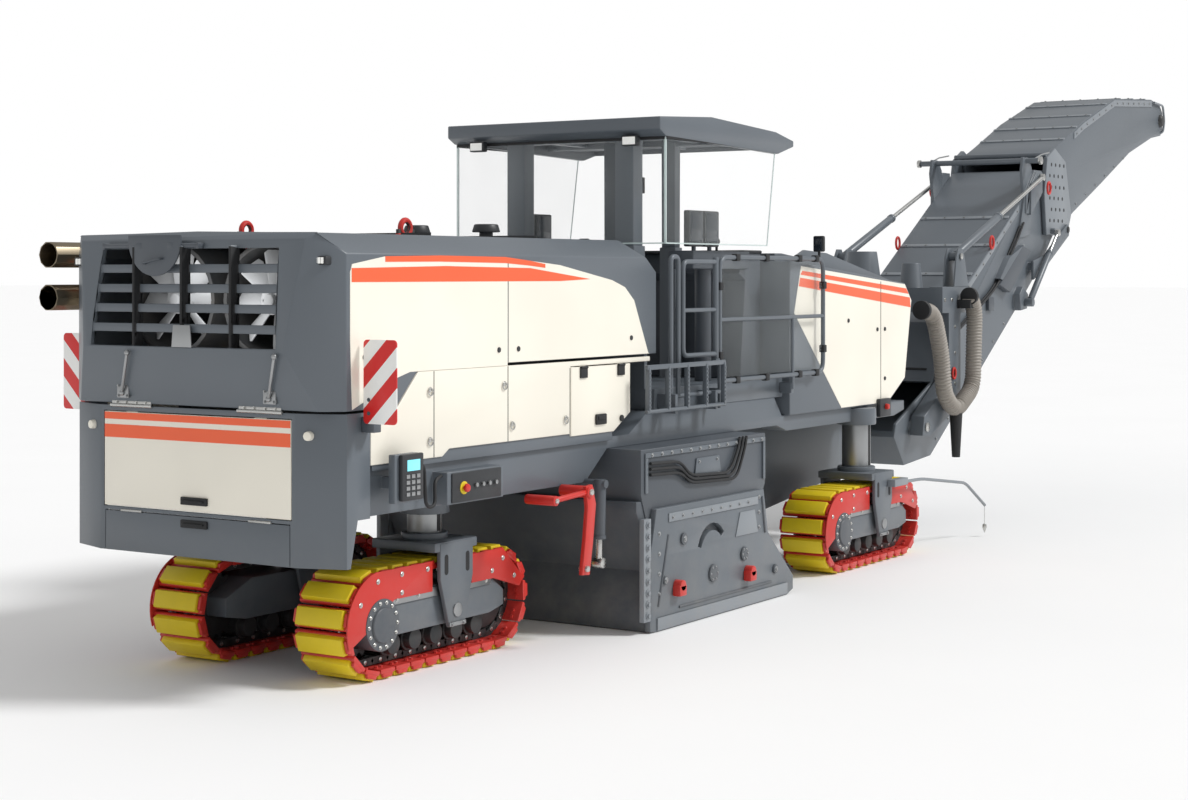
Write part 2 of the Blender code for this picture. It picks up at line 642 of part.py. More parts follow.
def fans():
    """Cooling fans on spindles that stand out from the radiator block."""
    root = 0.07
    for side, sign in SIDES:
        hub = rod((FAN_X - FAN_HALF, sign * FAN_Y, FAN_Z), (FAN_X + FAN_HALF - FIT, sign * FAN_Y, FAN_Z),
                  0.10, sides=24)
        vanes = []
        for i in range(FAN_BLADES):
            bm = bmesh.new()
            bmesh.ops.create_cube(bm, size=1.0)
            bmesh.ops.scale(bm, vec=(0.016, 0.13, FAN_R - root), verts=bm.verts)
            bmesh.ops.rotate(bm, matrix=Matrix.Rotation(math.radians(32), 3, "Z"), verts=bm.verts)
            bmesh.ops.translate(bm, vec=(0, 0, (FAN_R + root) / 2 - LIP), verts=bm.verts)
            bmesh.ops.rotate(bm, matrix=Matrix.Rotation(math.tau * i / FAN_BLADES, 3, "X"), verts=bm.verts)
            bmesh.ops.translate(bm, vec=(FAN_X, sign * FAN_Y, FAN_Z), verts=bm.verts)
            vanes.append(mesh_object("vane", bm))
        weld(hub, *vanes)
        part(hub, f"fan_{side}", "bright_steel", (FAN_X, sign * FAN_Y, FAN_Z))


# ---------------------------------------------------------------- hood
def hood_form(inset, low_z):
    """The hood's outer form, or its hollow where an inset is given."""
    w = BODY_HALF - inset
    top = HOOD_Z - inset
    shoulder = HOOD_SHOULDER_Z - inset * 0.5
    section = [(-w, low_z), (w, low_z), (w, shoulder), (w - 0.15, top - 0.02), (0.0, top),
               (-w + 0.15, top - 0.02), (-w, shoulder)]
    form = outline(section, -0.40, HOOD_FRONT_X - inset, "yz")
    lean = Vector((-(GRILLE_TOP_Z + 0.06 - GRILLE_LOW_Z), 0, 0.09)).normalized()
    slice_off(form, Vector((-GRILLE_BACK, 0, GRILLE_LOW_Z)) - lean * inset, lean)
    tuck = Vector((-(GRILLE_LOW_Z - HOOD_REAR_LOW_Z), 0, -GRILLE_BACK)).normalized()
    slice_off(form, Vector((-GRILLE_BACK, 0, GRILLE_LOW_Z)) - tuck * inset, tuck)
    brow = Vector((-0.62, 0, 0.78)).normalized()
    slice_off(form, Vector((0.02, 0, HOOD_Z)) - brow * inset, brow)
    for sign in (-1, 1):
        corner = Vector((-(BODY_HALF - 0.945), sign * 0.25, 0)).normalized()
        slice_off(form, Vector((0.115, sign * BODY_HALF, 0)) - corner * inset, corner)
    nose = Vector((0.26, 0, 0.35)).normalized()
    slice_off(form, Vector((HOOD_FRONT_X, 0, 2.87)) - nose * inset, nose)
    return form


def engine_hood():
    """Hollow hood with an open, barred rear end."""
    hood = hood_form(0.0, HOOD_REAR_LOW_Z)
    wide = BODY_HALF + 0.1
    cut(hood, hood_form(HOOD_WALL, 1.80))
    cut(hood, outline([(0.645, 1.80), (0.645, HOOD_REAR_LOW_Z), (0.90, HOOD_LOW_Z), (4.30, HOOD_LOW_Z),
                       (4.30, 1.80)], -wide, wide))
    cut(hood, outline([(-GRILLE_HALF, GRILLE_LOW_Z + 0.01), (GRILLE_HALF, GRILLE_LOW_Z + 0.01),
                       (GRILLE_HALF - 0.04, GRILLE_TOP_Z), (-GRILLE_HALF + 0.04, GRILLE_TOP_Z)],
                      -0.40, 0.13, "yz"))
    for sign in (-1, 1):
        cut(hood, box((1.20, 1.53), sorted((sign * 0.715, sign * 0.82)), (3.0, 3.3)))
    cut(hood, box((HOOD_FRONT_X - 0.10, HOOD_FRONT_X + 0.1), (-BODY_HALF + HOOD_WALL, BODY_HALF - HOOD_WALL),
                  (1.9, 2.80)))
    bars = []
    step = (GRILLE_TOP_Z - GRILLE_LOW_Z) / GRILLE_BARS
    for i in range(1, GRILLE_BARS):
        z = GRILLE_LOW_Z + step * i
        x = -GRILLE_BACK + 0.09 * (z - GRILLE_LOW_Z) / (GRILLE_TOP_Z - GRILLE_LOW_Z)
        half = GRILLE_HALF + 0.03
        bars.append(box((x + 0.006, x + 0.028), (-half, half), (z - 0.030, z + 0.030)))
    for sign in (-1, 0, 1):
        y = sign * 0.45
        bars.append(box((-GRILLE_BACK + 0.010, -GRILLE_BACK + 0.100), (y - 0.012, y + 0.012),
                        (GRILLE_LOW_Z - 0.02, GRILLE_TOP_Z + 0.02)))
    weld(hood, *bars)
    part(hood, "engine_hood", "grey_paint", (HOOD_PIVOT[0], 0.0, HOOD_PIVOT[1]))


def exhaust_pipes():
    """Two tail pipes on a flange at the hood's left side."""
    out = 1.425
    pipes = []
    for z in (2.995, 2.685):
        pipes.append(tube(rounded([(-0.02, out, z), (0.62, out, z), (0.80, BODY_HALF + FIT, z)], 0.12, 3),
                          0.098, rounds=3))
    body = pipes[0]
    for pipe in pipes:
        slice_off(pipe, (0, BODY_HALF + FIT, 0), (0, -1, 0))
    flange = box((0.58, 0.96), (BODY_HALF + FIT, BODY_HALF + 0.022), (2.55, 3.02))
    weld(body, pipes[1], flange)
    cut(body, *[rod((-0.10, out, z), (0.45, out, z), 0.086, sides=24) for z in (2.995, 2.685)])
    part(body, "exhaust_pipes", "bright_steel", (HOOD_PIVOT[0], 0.0, HOOD_PIVOT[1]))


# ---------------------------------------------------------------- side panels
def side_panels():
    """Fixed side panels and the service flaps that close the gap behind the steps."""
    gap = PANEL_GAP
    for side, sign in SIDES:
        low, high = sorted((sign * (BODY_HALF - PANEL_T), sign * BODY_HALF))
        shape = [(0.365 + gap, PANEL_Z0), (1.17, PANEL_Z0), (1.25, 1.62), (FLAP_X[0] - gap, 1.62),
                 (FLAP_X[0] - gap, PANEL_Z1 + gap), (HOOD_FRONT_X - 0.10, PANEL_Z1 + gap),
                 (HOOD_FRONT_X - 0.10, PANEL_TOP_Z), (0.892, PANEL_TOP_Z), (0.640, 1.925),
                 (0.365 + gap, 1.925)]
        panel = outline(shape, low, high)
        tab_y = sorted((sign * (RAIL_OUT - 0.04), sign * (BODY_HALF - PANEL_T + LIP)))
        weld(panel, *[box((x, x + 0.12), tab_y, (RAIL_REAR_TOP_Z + FIT, 1.66)) for x in (1.0, 2.4)])
        part(panel, f"side_panel_{side}", "cream_paint")
        flap = outline([(FLAP_X[0], 1.60), (3.44, 1.60), (FLAP_X[1], 1.74), (FLAP_X[1], PANEL_Z1),
                        (FLAP_X[0], PANEL_Z1)], low, high)
        tab_y = sorted((sign * (BODY_HALF - 0.003), sign * (BODY_HALF - PANEL_T + 0.003)))
        weld(flap, *[box((x, x + 0.08), tab_y, (PANEL_Z1 - LIP, PANEL_Z1 + gap - FIT)) for x in (2.95, 3.50)])
        part(flap, f"side_flap_{side}", "cream_paint", (0.0, sign * BODY_HALF, PANEL_Z1))


def marker_plates():
    """Upright warning plates on arms from the rear corners."""
    for side, sign in SIDES:
        face_y = sorted((sign * (BODY_HALF + 0.030), sign * (BODY_HALF + 0.310)))
        plate = box((0.255, 0.263), face_y, (1.86, 2.42))
        arm = box((0.262 - LIP, 0.335), sorted((sign * (BODY_HALF + FIT), sign * (BODY_HALF + 0.11))),
                  (1.80, 1.905))
        stem = box((0.262 - LIP, 0.30), sorted((sign * (BODY_HALF + 0.05), sign * (BODY_HALF + 0.10))),
                   (1.85, 2.05))
        weld(plate, arm, stem)
        part(plate, f"marker_plate_{side}", "marker_sheet")


# ---------------------------------------------------------------- milling group
def drum_housing():
    """The box round the drum, open below, with a slot in front for the belt."""
    top = RAIL_UNDER_Z - FIT
    profile = [(3.45, top), BACK_SLOPE[0], BACK_SLOPE[1], (BACK_SLOPE[1][0], 0.30), (5.30, 0.30),
               (5.30, 0.62), (5.55, 1.02), (5.55, top)]
    shell = outline(profile, BOX_RIGHT, BOX_LEFT)
    inner_r = DRUM_R + 0.05
    hollow = outline([(DRUM_X - inner_r, 0.10)] + arc((DRUM_X, DRUM_Z), inner_r, 180, 0, 16)
                     + [(DRUM_X + inner_r, 0.10)], BOX_RIGHT + BOX_WALL, BOX_LEFT - BOX_WALL)
    cut(shell, hollow)
    mouth = box((DRUM_X, 5.70), (-0.46, 0.46), (0.20, 0.86))
    cut(shell, mouth)
    for wall_y, inward in ((BOX_RIGHT + BOX_WALL, 1), (BOX_LEFT - BOX_WALL, -1)):
        weld(shell, rod((DRUM_X, wall_y - inward * LIP, DRUM_Z), (DRUM_X, wall_y + inward * BEARING, DRUM_Z),
                        0.20))
    part(shell, "drum_housing", "grey_paint")


def milling_drum():
    """Drum core with rows of tool holders standing on a helix."""
    left = BOX_LEFT - BOX_WALL - BEARING - FIT
    right = BOX_RIGHT + BOX_WALL + BEARING + FIT
    core = rod((DRUM_X, right, DRUM_Z), (DRUM_X, left, DRUM_Z), 0.15, sides=24)
    barrel = rod((DRUM_X, right + 0.03, DRUM_Z), (DRUM_X, left - 0.03, DRUM_Z), DRUM_R - 0.12, sides=32)
    weld(core, barrel)
    holders = []
    for i in range(HOLDER_ROWS):
        y = right + 0.10 + (left - right - 0.20) * i / (HOLDER_ROWS - 1)
        turn = math.tau * i * 3 / HOLDER_ROWS
        for k in range(3):
            angle = turn + math.tau * k / 3
            bm = bmesh.new()
            bmesh.ops.create_cone(bm, cap_ends=True, segments=6, radius1=0.045, radius2=0.012, depth=0.14)
            bmesh.ops.translate(bm, vec=(0, 0, DRUM_R - 0.07), verts=bm.verts)
            bmesh.ops.rotate(bm, matrix=Matrix.Rotation(angle, 3, "Y"), verts=bm.verts)
            bmesh.ops.translate(bm, vec=(DRUM_X, y, DRUM_Z), verts=bm.verts)
            holders.append(mesh_object("holder", bm))
    weld(core, *holders, solver="MANIFOLD")
    part(core, "milling_drum", "dark_steel", (DRUM_X, (left + right) / 2, DRUM_Z))


def edge_plates():
    """Sliding side plates that ride on the road edge, outside the box walls."""
    for side, face, sign in (("right", BOX_RIGHT, -1), ("left", BOX_LEFT, 1)):
        near = face + sign * FIT
        low, high = sorted((near, near + sign * EDGE_T))
        plate = outline([(3.50, 0.012), (3.60, 0.0), (5.86, 0.0), (5.98, 0.04), (5.98, 0.16),
                         (5.50, 0.60), (5.42, 0.98), (3.60, 0.98), (3.50, 0.60)], low, high)
        cut(plate, outline(arc((DRUM_X, 0.52), 0.26, 160, 40, 8) + arc((DRUM_X, 0.52), 0.20, 40, 160, 8),
                           low - 0.05, high + 0.05))
        part(plate, f"edge_plate_{side}", "grey_paint", (DRUM_X, near, 0.0))


def scraper():
    """Moldboard that slides along the rear face of the drum box."""
    (top_x, top_z), (low_x, low_z) = BACK_SLOPE
    face = low_x - FIT
    lean = (low_x - top_x) / (top_z - low_z)
    head = 1.05
    head_x = face - (head - low_z) * lean
    wall = outline([(face - 0.20, 0.012), (face - 0.17, 0.0), (face, 0.0), (face, low_z), (head_x, head),
                    (head_x - SCRAPER_T, head), (head_x - SCRAPER_T, head - 0.08),
                    (face - SCRAPER_T, low_z + 0.05), (face - 0.20, 0.26)],
                   BOX_RIGHT + 0.01, BOX_LEFT - 0.01)
    part(wall, "scraper", "grey_paint", (face, 0.0, 0.0))


def primary_conveyor():
    """Enclosed pick-up belt from the drum box to the drop point."""
    wall = 0.03
    body = outline([(5.62, 0.34), (8.20, 0.62), (8.90, 0.72), (9.93, 0.72), (9.93, 1.40), (10.62, 1.52),
                    (10.62, 1.95), (10.35, 2.06), (10.05, 2.02), (9.20, PICKUP_TOP_Z),
                    (6.10, PICKUP_TOP_Z), (5.62, 1.00)], -PICKUP_HALF, PICKUP_HALF)
    for sign in (-1, 1):
        cut(body, box((HEAD_X, 10.80), sorted((sign * HEAD_HALF, sign * (PICKUP_HALF + 0.1))), (0.60, 2.30)))
    slim, wide = HEAD_HALF - wall, PICKUP_HALF - wall
    cut(body, outline([(8.80, 0.84), (9.80, 0.84), (9.86, 1.44), (10.30, 1.58), (10.30, 1.45), (10.52, 1.45),
                       (10.52, 1.91), (10.33, 2.00), (10.09, 1.96), (9.23, 1.33), (8.80, 1.33)], -slim, slim))
    cut(body, outline([(5.50, 0.46), (8.16, 0.74), (8.85, 0.82), (HEAD_X - wall, 0.82), (HEAD_X - wall, 1.31),
                       (6.13, 1.31), (5.50, 0.90)], -wide, wide))
    part(body, "primary_conveyor", "grey_paint")


# ---------------------------------------------------------------- platform
def platform():
    """Deck, rear bulkhead and the sleeves that the canopy's posts slide in."""
    deck = box(PLATFORM_X, (-RAIL_OUT, RAIL_OUT), (RAIL_TOP_Z + FIT, DECK_Z))
    pieces = []
    for (x, y, hx, hy) in (REAR_POST, FRONT_POST):
        for sign in (-1, 1):
            grow = POST_WALL + FIT
            pieces.append(box((x - hx - grow, x + hx + grow), (sign * y - hy - grow, sign * y + hy + grow),
                              (DECK_Z - LIP, GLASS_LOW_Z - 0.02)))
    pieces.append(box((PLATFORM_X[0], PLATFORM_X[0] + 0.05), (-1.10, 1.10), (DECK_Z - LIP, 2.95)))
    for sign in (-1, 1):
        pieces.append(box((HOOD_FRONT_X + FIT, PLATFORM_X[0] + 0.02), sorted((sign * 0.55, sign * 0.67)),
                          (2.80, 2.86)))
    weld(deck, *pieces)
    bores = []
    for (x, y, hx, hy) in (REAR_POST, FRONT_POST):
        for sign in (-1, 1):
            bores.append(box((x - hx - FIT, x + hx + FIT), (sign * y - hy - FIT, sign * y + hy + FIT),
                             (DECK_Z + 0.05, GLASS_LOW_Z + 0.1)))
    cut(deck, *bores)
    part(deck, "platform", "grey_paint")


def operator_console():
    """Dash across the front, with an arm rest and two displays at each side."""
    dash = outline([(6.05, DECK_Z + FIT), (6.44, DECK_Z + FIT), (6.44, 3.05), (6.15, 3.05), (6.03, 2.86),
                    (6.15, 2.80)], -0.98, 0.98)
    pieces = []
    for _, sign in SIDES:
        y = sign * 0.90
        pieces.append(rod((5.50, y, DECK_Z + FIT), (5.50, y, 2.95), 0.075, sides=20))
        pieces.append(box((5.10, 6.14), (y - 0.13, y + 0.13), (2.90, 3.06)))
        for x in (5.06, 5.34):
            pieces.append(box((x, x + 0.25), (y - 0.11, y - 0.06), (3.10, 3.41)))
            pieces.append(rod((x + 0.125, y - 0.085, 3.04), (x + 0.125, y - 0.085, 3.12), 0.02, sides=10))
    weld(dash, *pieces)
    part(dash, "operator_console", "grey_paint")


def railings():
    """Rails with panels, and the posts that the gates and steps hang on."""
    for side, sign in SIDES:
        y = sign * RAIL_Y
        big = rounded([(5.05, y, 1.93), (5.05, y, 3.00), (7.06, y, 3.00), (7.06, y, 1.93), (5.12, y, 1.93)],
                      0.12)
        frame = tube(big, RAIL_TUBE, rounds=1)
        pieces = [rod((5.05, y, 2.46), (7.06, y, 2.46), RAIL_TUBE - 0.003, sides=8)]
        pieces.append(rod((5.05, y, 1.70), (5.05, y, 2.10), RAIL_TUBE - 0.003, sides=8))
        pieces.append(box((5.032, 5.073), sorted((sign * (RAIL_OUT + FIT), y)), (1.76, 1.87)))
        pieces.append(box((6.40, 6.45), sorted((sign * (RAIL_OUT + FIT), y)), (1.76, 1.86)))
        pieces.append(rod((6.425, y, 1.80), (6.425, y, 2.46), RAIL_TUBE - 0.003, sides=8))
        pieces.append(box((5.07, 7.04), sorted((y - sign * 0.004, y + sign * 0.004)), (1.94, 2.99)))
        pieces.append(box((4.955, 5.05), sorted((y - sign * 0.02, y + sign * 0.02)), (2.105, 2.13 - FIT)))
        for x in (4.20, 4.88):
            reach = sorted((sign * (RAIL_OUT + FIT), sign * (STEP_Y - STEP_BAR - FIT)))
            pieces.append(box((x, x + 0.04), reach, (STEP_Z - 0.04, 1.86)))
        rear = rounded([(4.22, y, 1.80), (4.22, y, 3.00), (4.34, y, 3.00), (4.34, y, 1.835)], 0.05)
        pieces.append(rod((4.22, y, 1.84), (5.05, y, 1.84), RAIL_TUBE - 0.002, sides=8))
        pieces.append(tube(rear, RAIL_TUBE, rounds=1))
        weld(frame, *pieces, solver="MANIFOLD")
        part(frame, f"railing_{side}", "grey_paint")


def gates():
    """Access gates, each a bent loop on a hinge post."""
    for side, sign in SIDES:
        y = sign * RAIL_Y
        loop = rounded([(4.97, y, 2.96), (4.42, y, 2.96), (4.42, y, 2.17), (4.97, y, 2.17)], 0.06)
        frame = rod((4.98, y, 2.13), (4.98, y, 3.00), RAIL_TUBE + 0.005, sides=12)
        weld(frame, tube(loop, RAIL_TUBE, rounds=1),
             rod((4.42, y, 2.55), (4.97, y, 2.55), RAIL_TUBE - 0.003, sides=8))
        part(frame, f"gate_{side}", "grey_paint", (4.98, y, 2.13))


def steps():
    """Fold-up side steps of serrated bars."""
    low, high = STEP_Z, STEP_Z + STEP_DEEP
    start, end = STEP_X
    for side, sign in SIDES:
        y = sign * STEP_Y
        frame = rod((start, y, low), (end, y, low), STEP_BAR, sides=12)
        pieces = [box(STEP_X, (y - 0.016, y + 0.016), (high - 0.02, high + 0.02))]
        for i in range(STEP_RIBS):
            x = start + 0.015 + i * (end - start - 0.045) / (STEP_RIBS - 1)
            pieces.append(box((x, x + 0.03), (y - 0.02, y + 0.02), (low, high)))
        weld(frame, *pieces)
        part(frame, f"side_step_{side}", "grey_paint", ((start + end) / 2, y, low))


# ---------------------------------------------------------------- canopy
def canopy():
    """Roof tray on four posts that lower into their sleeves."""
    x0, x1 = CANOPY_X
    low = CANOPY_Z - CANOPY_T
    roof = outline([(x0, low + 0.02), (x0 + 0.10, low - 0.03), (x1 - 0.30, low - 0.08), (x1, CANOPY_Z - 0.13),
                    (x1, CANOPY_Z - 0.075), (x1 - 0.35, CANOPY_Z - 0.01), (x0 + 0.9, CANOPY_Z + 0.05),
                    (x0, CANOPY_Z)], -CANOPY_HALF, CANOPY_HALF)
    tray = outline([(x0 + 0.16, low - 0.30), (x1 - 0.10, low - 0.30), (x1 - 0.10, CANOPY_Z - 0.115),
                    (x1 - 0.36, CANOPY_Z - 0.06), (x0 + 0.16, CANOPY_Z - 0.05)],
                   -CANOPY_HALF + 0.07, CANOPY_HALF - 0.07)
    cut(roof, tray)
    pieces = []
    for (x, y, hx, hy) in (REAR_POST, FRONT_POST):
        for sign in (-1, 1):
            pieces.append(box((x - hx, x + hx), (sign * y - hy, sign * y + hy),
                              (GLASS_LOW_Z - CANOPY_DROP - 0.12, CANOPY_Z - 0.03)))
        pieces.append(box((x - 0.04, x + 0.04), (-CANOPY_HALF + 0.05, CANOPY_HALF - 0.05),
                          (low - 0.02, CANOPY_Z - 0.04)))
    weld(roof, *pieces)
    part(roof, "canopy", "grey_paint", (CANOPY_X[0], 0.0, CANOPY_Z))


def canopy_glass():
    """Rear and side screens hung under the roof's edge as one bent sheet."""
    x0, x1 = CANOPY_X

    def under(x):
        return CANOPY_Z - CANOPY_T - 0.03 - (x - x0 - 0.10) * 0.05 / (x1 - x0 - 0.40) - FIT

    inset = 0.018
    y = CANOPY_HALF - inset
    rear_x = x0 + 0.12
    rear = box((rear_x, rear_x + GLASS_T), (-y, y), (GLASS_LOW_Z, under(rear_x + GLASS_T)))
    panes = []
    for sign in (-1, 1):
        panes.append(outline([(rear_x, GLASS_LOW_Z), (6.36, GLASS_LOW_Z), (6.52, under(6.52)),
                              (rear_x, under(rear_x))], *sorted((sign * y, sign * (y - GLASS_T)))))
    weld(rear, *panes)
    part(rear, "canopy_glass", "clear_glass", (CANOPY_X[0], 0.0, CANOPY_Z))


# ---------------------------------------------------------------- front bodywork
def front_bodywork():
    """Sloping bodywork over the front tracks."""
    profile = [(FRONT_X0, FRONT_LOW_Z), (8.685, FRONT_LOW_Z), (9.107, 1.78), (FRONT_X1, 2.584),
               (9.107, 2.762), (6.715, 2.967), (FRONT_X0, 2.975)]
    body = outline(profile, -BODY_HALF, BODY_HALF)
    roof = outline([(6.60, 2.90), (9.02, 2.70), (9.00, 2.83), (6.75, 3.05), (6.60, 3.05)], -1.05, 1.05)
    weld(body, roof)
    part(body, "front_bodywork", "cream_paint")


# ---------------------------------------------------------------- discharge conveyor
def swivel_frame():
    """Slewing frame: hub on the king pin, cross beam and two arms down to the lift axis."""
    hub = rod((SLEW_X, 0, HUB_Z0), (SLEW_X, 0, HUB_Z1), HUB_R, sides=24)
    pieces = [box((SLEW_X + 0.10, 11.44), (-0.16, 0.16), (2.42, 2.68)),
              box((11.20, 11.44), (-ARM_Y[0] - LIP, ARM_Y[0] + LIP), (2.42, 2.70))]
    for _, sign in SIDES:
        y = sorted((sign * ARM_Y[0], sign * ARM_Y[1]))
        pieces.append(box((11.20, 12.00), y, (2.41, 2.71)))
        pieces.append(box((11.39, 11.73), y, (1.42, 2.41 + LIP)))
        pieces.append(outline([(LIFT_X - 0.11, LIFT_Z - 0.09), (LIFT_X + 0.10, LIFT_Z - 0.11),
                               (11.73, 1.36), (11.73, 1.66), (11.39, 1.66),
                               (LIFT_X - 0.06, LIFT_Z + 0.12)], *y))
        for near, far in ((LIFT_CYL_Y + BOSS_HALF + FIT, ARM_Y[1] - 0.004),
                          (LIFT_CYL_Y - BOSS_HALF - FIT, ARM_Y[0] + 0.004)):
            pieces.append(outline([(11.56, 2.70), (11.98, 2.70), (11.86, 3.06), (11.80, 3.15), (11.68, 3.15),
                                   (11.62, 3.06)], *sorted((sign * near, sign * far))))
    pieces.append(rod((11.34, -0.34, 2.69), (11.34, -0.34, 2.98), 0.135, 0.105, sides=24))
    weld(hub, *pieces)
    cut(hub, rod((SLEW_X, 0, HUB_Z0 - 0.1), (SLEW_X, 0, HUB_Z1 + 0.1), PIN_R + 0.001, sides=24))
    part(hub, "swivel_frame", "grey_paint", (SLEW_X, 0.0, HUB_Z0))


def vacuum_hose():
    """Ribbed dust hoses that meet in a downward outlet, beside the right post."""
    y = -0.905
    pipe = tube(rounded([(10.34, y, 2.46), (10.66, y, 2.42), (10.88, y, 1.95), (10.95, y, 1.50),
                         (11.28, y, 1.30), (11.80, y, 1.55), (11.86, y, 2.45), (11.70, y, 2.60)], 0.14, 3),
                HOSE_R, rounds=2)
    outlet = rod((11.30, y, 1.34), (11.30, y, 0.78), 0.075, 0.045, sides=16)
    clamp_low = box((11.62, 11.80), (y - 0.04, -ARM_Y[1] - FIT), (2.46, 2.56))
    clamp_high = box((10.28, 10.36), (y - 0.02, y + 0.02), (2.40, 2.56))
    weld(pipe, outlet, clamp_low, clamp_high)
    part(pipe, "vacuum_hose", "ribbed_hose", (SLEW_X, 0.0, HUB_Z0))


def lower_top(x):
    """Height of the lower cover's edge at a station."""
    return COVER_EDGE[1] + (x - COVER_EDGE[0]) * math.tan(math.radians(COVER_SLOPE))


def lower_conveyor():
    """Lower casing of the discharge belt, from the hopper to the fold hinge."""
    pivot = (LIFT_X, 0.0, LIFT_Z)
    outer = [(10.28, 1.06), (10.55, 0.73), (11.29, 0.785), (14.75, 2.90), (15.30, 3.36), (15.02, 4.20),
             (14.80, lower_top(14.80)), (11.62, lower_top(11.62)), (11.36, 1.62), (10.34, 1.20)]
    body = outline(outer, -BELT_HALF, BELT_HALF)
    wall = 0.035
    inner = [(10.20, 1.30), (10.40, 0.98), (10.62, 0.86), (11.26, 0.92), (14.70, 3.02), (15.60, 3.56),
             (15.60, 4.35), (14.98, 4.18), (14.78, lower_top(14.80) - 0.05),
             (11.66, lower_top(11.66) - 0.05), (11.42, 1.60), (10.90, 1.80)]
    cut(body, outline(inner, -BELT_HALF + wall, BELT_HALF - wall))
    pieces = []
    for _, sign in SIDES:
        # trunnion of the lift axis
        pieces.append(rod((LIFT_X, sign * (BELT_HALF - LIP), LIFT_Z),
                          (LIFT_X, sign * (ARM_Y[0] - FIT), LIFT_Z), 0.085, sides=20))
        # upright plates that carry the cross bars
        y = sorted((sign * (BELT_HALF - LIP), sign * (BELT_HALF + 0.03)))
        pieces.append(outline([(13.98, 3.30), (14.40, 3.35), (14.45, 4.20), (14.33, 4.33), (14.15, 4.33),
                               (14.10, 4.15), (14.18, 3.80)], *y))
        eye = sorted((sign * (BELT_HALF + 0.03 - LIP), sign * (LIFT_CYL_Y - EYE_HALF - 0.004)))
        pieces.append(outline([(14.30, 3.60), (14.72, 3.90), (14.72, 4.16), (14.52, 4.16),
                               (14.32, 4.0)], *eye))
        backing = sorted((sign * (BELT_HALF + 0.002), sign * (BELT_HALF + 0.05)))
        pieces.append(outline([(14.20, 3.62), (14.34, 3.62), (14.74, 3.86), (14.74, 4.18), (14.50, 4.18),
                               (14.20, 3.90)], *backing))
        ear = sorted((sign * (BRACKET_Y[1] + FIT), sign * (BRACKET_Y[1] + 0.035)))
        pieces.append(outline([(14.35, 2.78), (14.62, 2.86), (FOLD_X + 0.04, FOLD_Z - 0.08),
                               (FOLD_X + 0.07, FOLD_Z + 0.02), (FOLD_X, FOLD_Z + 0.07),
                               (FOLD_X - 0.12, FOLD_Z + 0.02), (14.80, 3.10), (14.35, 3.02)], *ear))
        root = sorted((sign * (BELT_HALF - LIP), sign * (BRACKET_Y[1] + FIT + LIP)))
        pieces.append(box((14.37, 14.70), root, (2.90, 3.00)))
        # lug for the fold cylinder
        pieces.append(outline([(13.90, 2.40), (14.12, 2.42), (14.16, 2.60), (13.98, 2.70), (13.86, 2.60)],
                              *sorted((sign * (BELT_HALF - LIP), sign * (FOLD_CYL_Y - BOSS_HALF - FIT)))))
        pieces.append(outline([(13.24, 2.80), (13.60, 2.72), (14.20, 3.10), (14.05, 3.22), (13.55, 3.06)],
                              *sorted((sign * (BELT_HALF - LIP), sign * 0.68))))
    pieces.append(tube([(14.242, -0.80, 4.285), (14.242, 0.80, 4.285)], 0.036, rounds=3))
    weld(body, *pieces)
    part(body, "lower_conveyor", "grey_paint", pivot)


def upper_conveyor():
    """Folding end of the discharge belt with its perforated brackets."""
    pivot = (FOLD_X, 0.0, FOLD_Z)
    body_outer = [(15.66, 3.50), (16.12, 3.69), (17.23, 4.11), (18.48, 4.60), (19.50, 4.87),
                  (TIP_X - 0.10, 4.93), (TIP_X, 5.02), (TIP_X, 5.28), (TIP_X - 0.13, 5.38), (19.50, 5.44),
                  (17.80, 5.33), (16.50, 4.93), (15.52, 4.55), (15.10, 4.40), (15.42, 3.62)]
    half = BELT_HALF - 0.008
    body = outline(body_outer, -half, half)
    wall = 0.035
    hollow = [(15.20, 3.70), (15.80, 3.70), (16.10, 3.80), (17.20, 4.22), (18.44, 4.72), (19.46, 4.99),
              (TIP_X - 0.15, 5.03), (TIP_X - 0.15, 4.70), (TIP_X + 0.1, 4.70), (TIP_X + 0.1, 5.20),
              (TIP_X - 0.16, 5.31), (19.50, 5.38), (17.80, 5.28), (16.50, 4.88), (15.52, 4.50), (15.00, 4.32)]
    cut(body, outline(hollow, -half + wall, half - wall))
    pieces = []
    for _, sign in SIDES:
        y = sorted((sign * BRACKET_Y[0], sign * BRACKET_Y[1]))
        pieces.append(outline([(14.90, 3.36), (15.68, 3.36), (15.84, 3.64), (15.62, 4.34), (15.22, 4.50),
                               (14.93, 4.36), (14.82, 3.88)], *y))
        pieces.append(box((15.46, 15.70), sorted((sign * (half - LIP), sign * (BRACKET_Y[0] + LIP))),
                          (3.62, 4.20)))
        pieces.append(rod((FOLD_EYE[0], sign * (BRACKET_Y[1] - LIP), FOLD_EYE[1] + 0.02),
                          (FOLD_EYE[0], sign * (FOLD_CYL_Y - EYE_HALF - RUN / 2), FOLD_EYE[1] + 0.02), 0.04))
    pieces.append(tube([(14.960, -BELT_HALF - 0.03, 4.40), (14.960, BELT_HALF + 0.03, 4.40)], 0.03, rounds=3))
    weld(body, *pieces)
    part(body, "upper_conveyor", "grey_paint", pivot)


def along(base, eye, distance):
    """A point on the line from a cylinder's base pin towards its rod's eye."""
    length = math.dist(base, eye)
    t = distance / length
    return (base[0] + (eye[0] - base[0]) * t, base[1] + (eye[1] - base[1]) * t)


